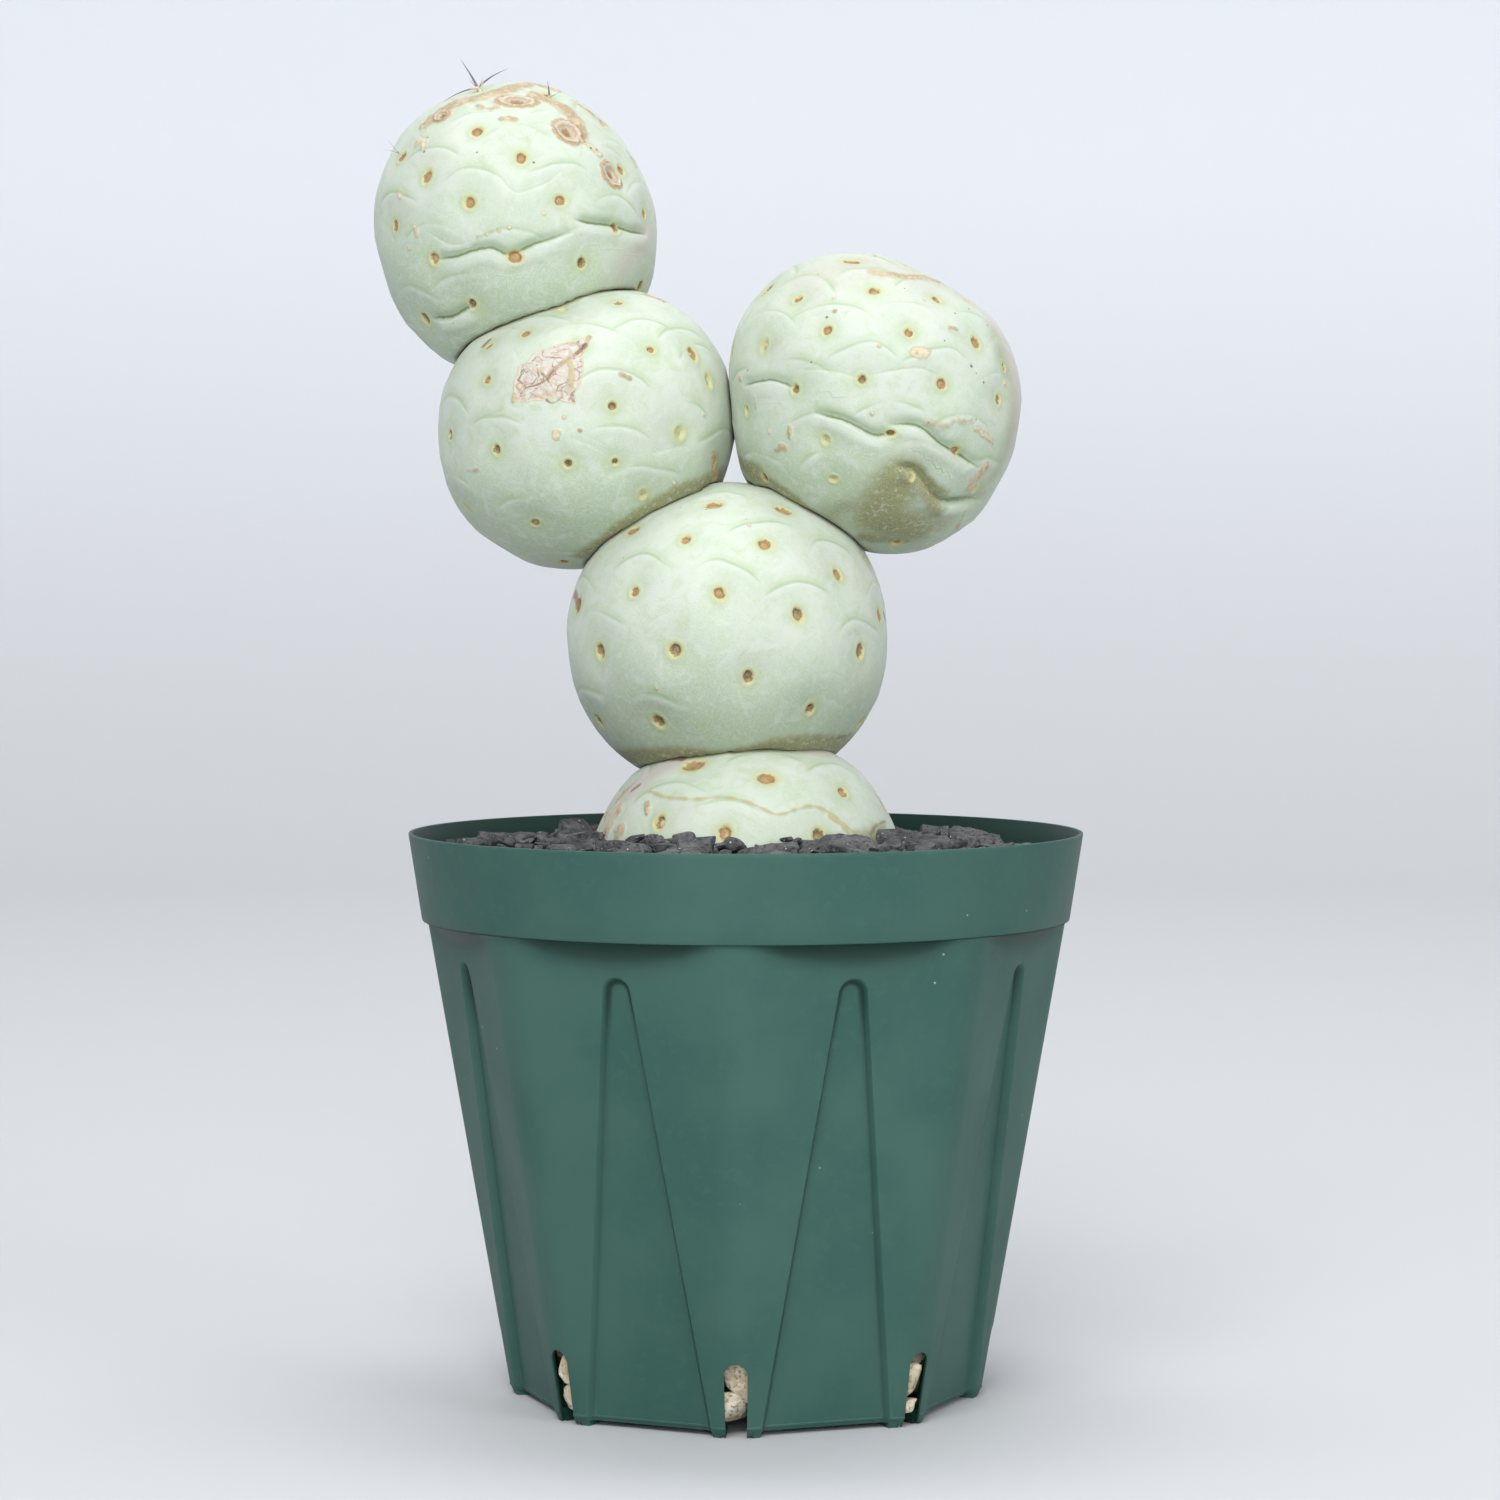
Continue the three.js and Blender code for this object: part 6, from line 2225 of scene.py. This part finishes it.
    def build(self, finish: Rock, plant: StemSegment) -> Piece:
        """Models the mound of grit and dresses it.

        Args:
            finish: its finish.
            plant: the base segment, which the chips keep clear of.

        Returns:
            The finished piece.
        """
        rough = [self.model_shape(rough=True) for _ in range(self.shapes)]
        plain = [self.model_shape() for _ in range(self.shapes)]
        pieces = [self.model_bed()]
        for chips in self.chip_sizes:
            pieces += self.scatter(rough if chips.rough else plain, chips, plant)
        mound = join(pieces, "lava_grit_mound")
        for shape in rough + plain:
            bpy.data.objects.remove(shape)
        hand_over(mound, finish, "grit", 30)
        return mound


@dataclass(frozen=True)
class SlitPebble:
    """One pebble behind a slit: its middle, right of the slit's, and its half sizes."""

    right: float
    z: float
    reach: float
    deep: float
    wide: float
    tall: float
    lean: float = 0.0


@dataclass
class PumiceDrain(RockFill):
    """Pumice pebbles at the bottom of the pot, in tiers round a core, seen in the slits."""

    slit_views: tuple[tuple[SlitPebble, ...], ...] = (
        (SlitPebble(1.2, 13.6, 49.3, 4.4, 6.2, 4.1, -40), SlitPebble(-2, 5.9, 47.6, 4, 4.2, 3.9)),
        (SlitPebble(-0.4, 9.5, 50.3, 4, 3, 4.6, -4), SlitPebble(-1.2, 3.8, 49.6, 3.4, 2.8, 2.2)),
        (
            SlitPebble(0.3, 13, 50.4, 4.1, 3.4, 4.2, 8),
            SlitPebble(1.2, 5.6, 49.4, 3.6, 3.2, 4.2, 12),
        ),
    )
    bulge_width: float = 1.7
    bulge_top: float = 14.6
    slit_clear: float = 6.5
    slit_clear_top: float = 22.0
    tiers: tuple[tuple[float, float, int, float], ...] = (
        (7.4, 44.0, 24, 4.6), (15.0, 44.5, 24, 4.6), (20.2, 46.0, 26, 4.0),
        (8.0, 35.0, 16, 5.6), (17.0, 36.0, 16, 5.6), (12.0, 22.0, 12, 7.0), (12.0, 9.0, 5, 7.6),
    )
    stretch: Triple = (0.95, 1.12, 0.85)
    clearance: float = 0.3
    inner_tiers: float = 40.0
    size_spread: Pair = (0.92, 1.1)
    pebble_tilt: float = 0.5
    dents: tuple[Pair, Pair] = ((0.12, 0.6), (0.04, 0.22))

    def round_off(self, pebble: Piece, number: int) -> None:
        """Wears a broken piece round, with a few dents.

        Args:
            pebble: the piece.
            number: its number, which sets its dents.
        """
        apply_modifier(pebble, "SUBSURF", levels=1, render_levels=1)
        points = points_of(pebble)
        (deep, broad), (shallow, narrow) = self.dents
        dents = deep * noise_at(points, broad, number * 3.7)
        dents = dents + shallow * noise_at(points, narrow, number)
        move_points(pebble, points * (1 + dents)[:, None])

    def fit_inside(self, drain: Piece, pot: SlitPot) -> None:
        """Presses the pebbles back from the pot's wall and floor, but lets them into the slits.

        Args:
            drain: the joined pebbles.
            pot: the pot that they lie in.
        """
        points = points_of(drain) / MM
        x, y, z = points.T
        reach, angle = np.hypot(x, y), np.arctan2(y, x)
        beside = np.abs(angle - pot.sector * np.round(angle / pot.sector)) * reach
        bulge = smooth_step(self.bulge_width + 0.5, self.bulge_width, beside)
        bulge *= smooth_step(self.bulge_top + 1.0, self.bulge_top, z)
        room = pot.inside_radius(angle, z) - self.clearance
        room += bulge * (pot.corner_radius(z) - pot.lip / 2 - room)
        points[:, :2] *= np.minimum(1, room / np.maximum(reach, 1e-6))[:, None]
        points[:, 2] = np.maximum(points[:, 2], pot.floor_top + self.clearance)
        move_points(drain, points * MM)

    def build(self, finish: Rock, pot: SlitPot) -> Piece:
        """Models the pebbles and dresses them.

        Args:
            finish: their finish.
            pot: the pot that they lie in.

        Returns:
            The finished piece.
        """
        shapes = [self.model_shape() for _ in range(self.shapes)]
        for number, shape in enumerate(shapes):
            self.round_off(shape, number)
        pebbles = []
        for corner in range(pot.sectors):
            for seen in self.slit_views[corner % len(self.slit_views)]:
                angle = corner * pot.sector + seen.right / seen.reach
                x, y = seen.reach * math.cos(angle), seen.reach * math.sin(angle)
                place = np.array([x, y, seen.z])
                size = np.array([seen.deep, seen.wide, seen.tall])
                turn = np.array([math.radians(seen.lean), 0, angle])
                shape = shapes[(corner + len(pebbles)) % len(shapes)]
                pebbles.append(self.copy_at(shape, place, size, turn))
        for z, radius, count, half in self.tiers:
            for i in range(count):
                angle = (i + 0.5 + self.random.uniform(-0.15, 0.15)) / count * TURN
                reach = radius + self.random.uniform(-0.8, 0.5)
                beside = abs(angle - pot.sector * round(angle / pot.sector)) * reach
                if radius < self.inner_tiers or z > self.slit_clear_top or beside > self.slit_clear:
                    place = np.array([reach * math.cos(angle), reach * math.sin(angle), z])
                    size = np.array(self.stretch) * half * self.random.uniform(*self.size_spread)
                    turn = self.any_turn(self.pebble_tilt)
                    shape = shapes[int(self.random.integers(len(shapes)))]
                    pebbles.append(self.copy_at(shape, place, size, turn))
        drain = join(pebbles, "pumice_pebbles")
        for shape in shapes:
            bpy.data.objects.remove(shape)
        self.fit_inside(drain, pot)
        hand_over(drain, finish, "drainage_pumice", 60)
        return drain


@dataclass(frozen=True)
class Spine:
    """One spine as seen on the top segment: its root, its tip and how thick it is."""

    root: Pair
    tip: Pair
    thickness: float
    bend: float = 0.0


@dataclass
class TopSpines:
    """The spines and hairs that are left on the top segment."""

    spines: tuple[Spine, ...] = (
        Spine((-9, 30.5), (-12.8, 36.9), 0.85, 0.2),
        Spine((-8, 31.2), (-2, 35), 0.7, -0.5),
        Spine((-10.5, 30), (-16.5, 27.5), 0.55, 0.4),
        Spine((7.5, 30), (7.2, 32.8), 0.7, 0.1),
        Spine((-9.5, 30.8), (-11.0, 32.6), 0.3, 0.1),
        Spine((-8.6, 31.0), (-7.6, 33.4), 0.25, 0.1),
        Spine((8.4, 29.6), (10.6, 30.6), 0.25, 0.2),
        Spine((-26.5, 15.0), (-30.0, 16.0), 0.18, 0.2),
        Spine((-26.3, 15.4), (-28.8, 18.2), 0.18, -0.2),
    )
    root_depth: float = 1.6
    sides: int = 10
    rings: int = 8
    tip_share: float = 0.06
    thinning: float = 0.15

    def model_spine(self, spine: Spine, segment: StemSegment) -> Piece:
        """Models one slim, slightly bent spine.

        Args:
            spine: the spine.
            segment: the segment that it grows from.

        Returns:
            The spine.
        """
        way = segment.seen_direction(*spine.root)
        root = segment.middle + way * segment.body_radius(way[None, :])[0]
        tip = root + segment.right * (spine.tip[0] - spine.root[0])
        tip = tip + segment.up * (spine.tip[1] - spine.root[1])
        along = unit(tip - root)
        root = root - along * self.root_depth
        deselect()
        bpy.ops.mesh.primitive_cone_add(
            vertices=self.sides, radius1=1, radius2=self.tip_share, depth=1, location=(0, 0, 0.5)
        )
        needle = bpy.context.object
        bpy.ops.object.transform_apply(location=True, rotation=True, scale=True)
        edit_all()
        for ring in range(1, self.rings):
            bpy.ops.mesh.select_all(action="SELECT")
            bpy.ops.mesh.bisect(plane_co=(0, 0, ring / self.rings), plane_no=(0, 0, 1))
        end_edit()
        points = points_of(needle)
        share = points[:, 2]
        side = unit(np.cross(along, segment.near))
        other = np.cross(along, side)
        taper = 1 - self.thinning * share
        bow = spine.bend * np.sin(share * math.pi)
        half = spine.thickness / 2
        placed = (
            root
            + share[:, None] * (tip - root)
            + (points[:, 0] * half * taper + bow)[:, None] * side
            + (points[:, 1] * half * taper)[:, None] * other
        )
        move_points(needle, turned(placed, PLANT_TURN) * MM)
        write_attribute(needle, "along", share)
        return needle

    def build(self, finish: SpineHorn, segment: StemSegment) -> Piece:
        """Models the spines and dresses them.

        Args:
            finish: their finish.
            segment: the segment that they grow from.

        Returns:
            The finished piece.
        """
        made = [self.model_spine(spine, segment) for spine in self.spines]
        joined = join(made, "top_spines")
        face_outwards(joined)
        hand_over(joined, finish, "", 60)
        return joined


@dataclass(frozen=True)
class Lamp:
    """One soft square lamp: its place and side in metres, its power, and what it shines on."""

    name: str
    place: Triple
    side: float
    watts: float
    aim: Triple = (0, 0, 0.16)


@dataclass
class Studio:
    """Camera, soft light and a plain pale cove that stands round the object."""

    eye: Triple = (38.2, -983.3, 188.55)
    pitch: float = 2.59
    turn: float = 2.17
    lens: float = 106.23
    sensor: float = 36.0
    floor_radius: float = 1.5
    wall_radius: float = 2.2
    wall_height: float = 2.0
    cove_steps: int = 12
    cove_sides: int = 128
    sky: str = "#F4F6FA"
    sky_strength: float = 0.46
    lamps: tuple[Lamp, ...] = (
        Lamp("key_softbox", (-0.22, -1.2, 1.28), 0.8, 18.8),
        Lamp("top_softbox", (0.1, 0.1, 1.5), 1.0, 2),
        Lamp("front_fill", (0.15, -1.7, 0.4), 0.7, 10),
        Lamp("right_fill", (1.2, -1.0, 0.7), 0.7, 6.5),
        Lamp("wall_lamp", (0, 0.5, 2.2), 1.2, 30, (0.4, 2.2, 0.2)),
    )

    def build_cove(self) -> None:
        """Models a round floor that sweeps up into a wall, from a disc extruded outwards."""
        deselect()
        bpy.ops.mesh.primitive_circle_add(
            vertices=self.cove_sides, radius=self.floor_radius, fill_type="NGON", location=(0, 0, 0)
        )
        cove = bpy.context.object
        bpy.context.tool_settings.mesh_select_mode = (False, True, False)
        edit_all()
        bpy.ops.mesh.region_to_loop()
        sweep = self.wall_radius - self.floor_radius
        radius, height = self.floor_radius, 0.0
        for step in range(1, self.cove_steps + 1):
            angle = step / self.cove_steps * math.pi / 2
            wider = self.floor_radius + sweep * math.sin(angle)
            higher = sweep * (1 - math.cos(angle))
            bpy.ops.mesh.extrude_edges_move(
                TRANSFORM_OT_translate={"value": (0, 0, higher - height)}
            )
            bpy.ops.transform.resize(value=(wider / radius, wider / radius, 1))
            radius, height = wider, higher
        bpy.ops.mesh.extrude_edges_move(
            TRANSFORM_OT_translate={"value": (0, 0, self.wall_height - height)}
        )
        end_edit()
        cove.name = "studio_cove"
        activate(cove)
        bpy.ops.object.shade_smooth_by_angle(angle=math.radians(40))
        write_attribute(cove, "height", points_of(cove)[:, 2])
        cove.data.materials.append(StudioPaint().material())

    def add_lamp(self, lamp: Lamp) -> None:
        """Adds one lamp, which the camera doesn't see.

        Args:
            lamp: the lamp.
        """
        deselect()
        bpy.ops.object.light_add(type="AREA", location=lamp.place)
        light = bpy.context.object
        light.name = lamp.name
        light.data.shape = "SQUARE"
        light.data.size = lamp.side
        light.data.energy = lamp.watts
        light.visible_camera = False
        aim = Vector(lamp.aim) - Vector(lamp.place)
        light.rotation_euler = aim.to_track_quat("-Z", "Y").to_euler()

    def build(self) -> None:
        """Makes the cove, the light and the camera."""
        self.build_cove()
        world = bpy.data.worlds.new("soft_sky")
        bpy.context.scene.world = world
        world.use_nodes = True
        background = world.node_tree.nodes["Background"]
        background.inputs["Color"].default_value = linear(self.sky)
        background.inputs["Strength"].default_value = self.sky_strength
        for lamp in self.lamps:
            self.add_lamp(lamp)
        deselect()
        bpy.ops.object.camera_add(
            location=[v * MM for v in self.eye],
            rotation=(math.radians(90 - self.pitch), 0, math.radians(self.turn)),
        )
        camera = bpy.context.object
        camera.data.lens = self.lens
        camera.data.sensor_width = self.sensor
        bpy.context.scene.camera = camera
        bpy.context.scene.view_settings.view_transform = "Standard"


def corners(box: tuple[Vector, Vector]) -> list[list[float]]:
    """Turns a box's two corners to plain lists."""
    return [list(box[0]), list(box[1])]


def main() -> None:
    """Builds the looks of the whole object, piece by piece."""
    logging.basicConfig(level=logging.INFO, format="%(name)s: %(message)s")
    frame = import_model()
    Studio().build()
    pot = SlitPot()
    pot.build(PotPlastic())
    pale = Rock("pumice_cream", "#A99A7C", "#DED6C2", "#7C6B50", "#5F4F3A", 0.95, 5, 0.9, 0.7, 2)
    PumiceDrain(seed=21, bevel=0.2, cuts=7, cut_depth=(0.7, 0.95)).build(pale, pot)
    GritMound(seed=7).build(Rock(), BASE)
    skin = CactusSkin()
    BASE.build([], [MIDDLE], skin)
    MIDDLE.build([BASE], [BASE, LEFT, RIGHT], skin)
    LEFT.build([MIDDLE], [MIDDLE, RIGHT, TOP], skin)
    RIGHT.build([MIDDLE, LEFT], [MIDDLE, LEFT], skin)
    TOP.build([LEFT], [LEFT], skin)
    TopSpines().build(SpineHorn(), TOP)
    dull = {
        "potting_mix": Rock(
            "potting_mix_dark", "#3A2F27", "#54453A", "#241C16", "#8C7A66", 0.97, 3
        ),
        "root_stock": Rock("root_bark_brown", "#6E5138", "#8A6A4A", "#4A3424", "#B49A78", 0.85, 4),
    }
    for node, finish in dull.items():
        solid = frame["nodes"][node]
        solid.data.materials.clear()
        solid.data.materials.append(finish.material())


if __name__ == "__main__":
    main()
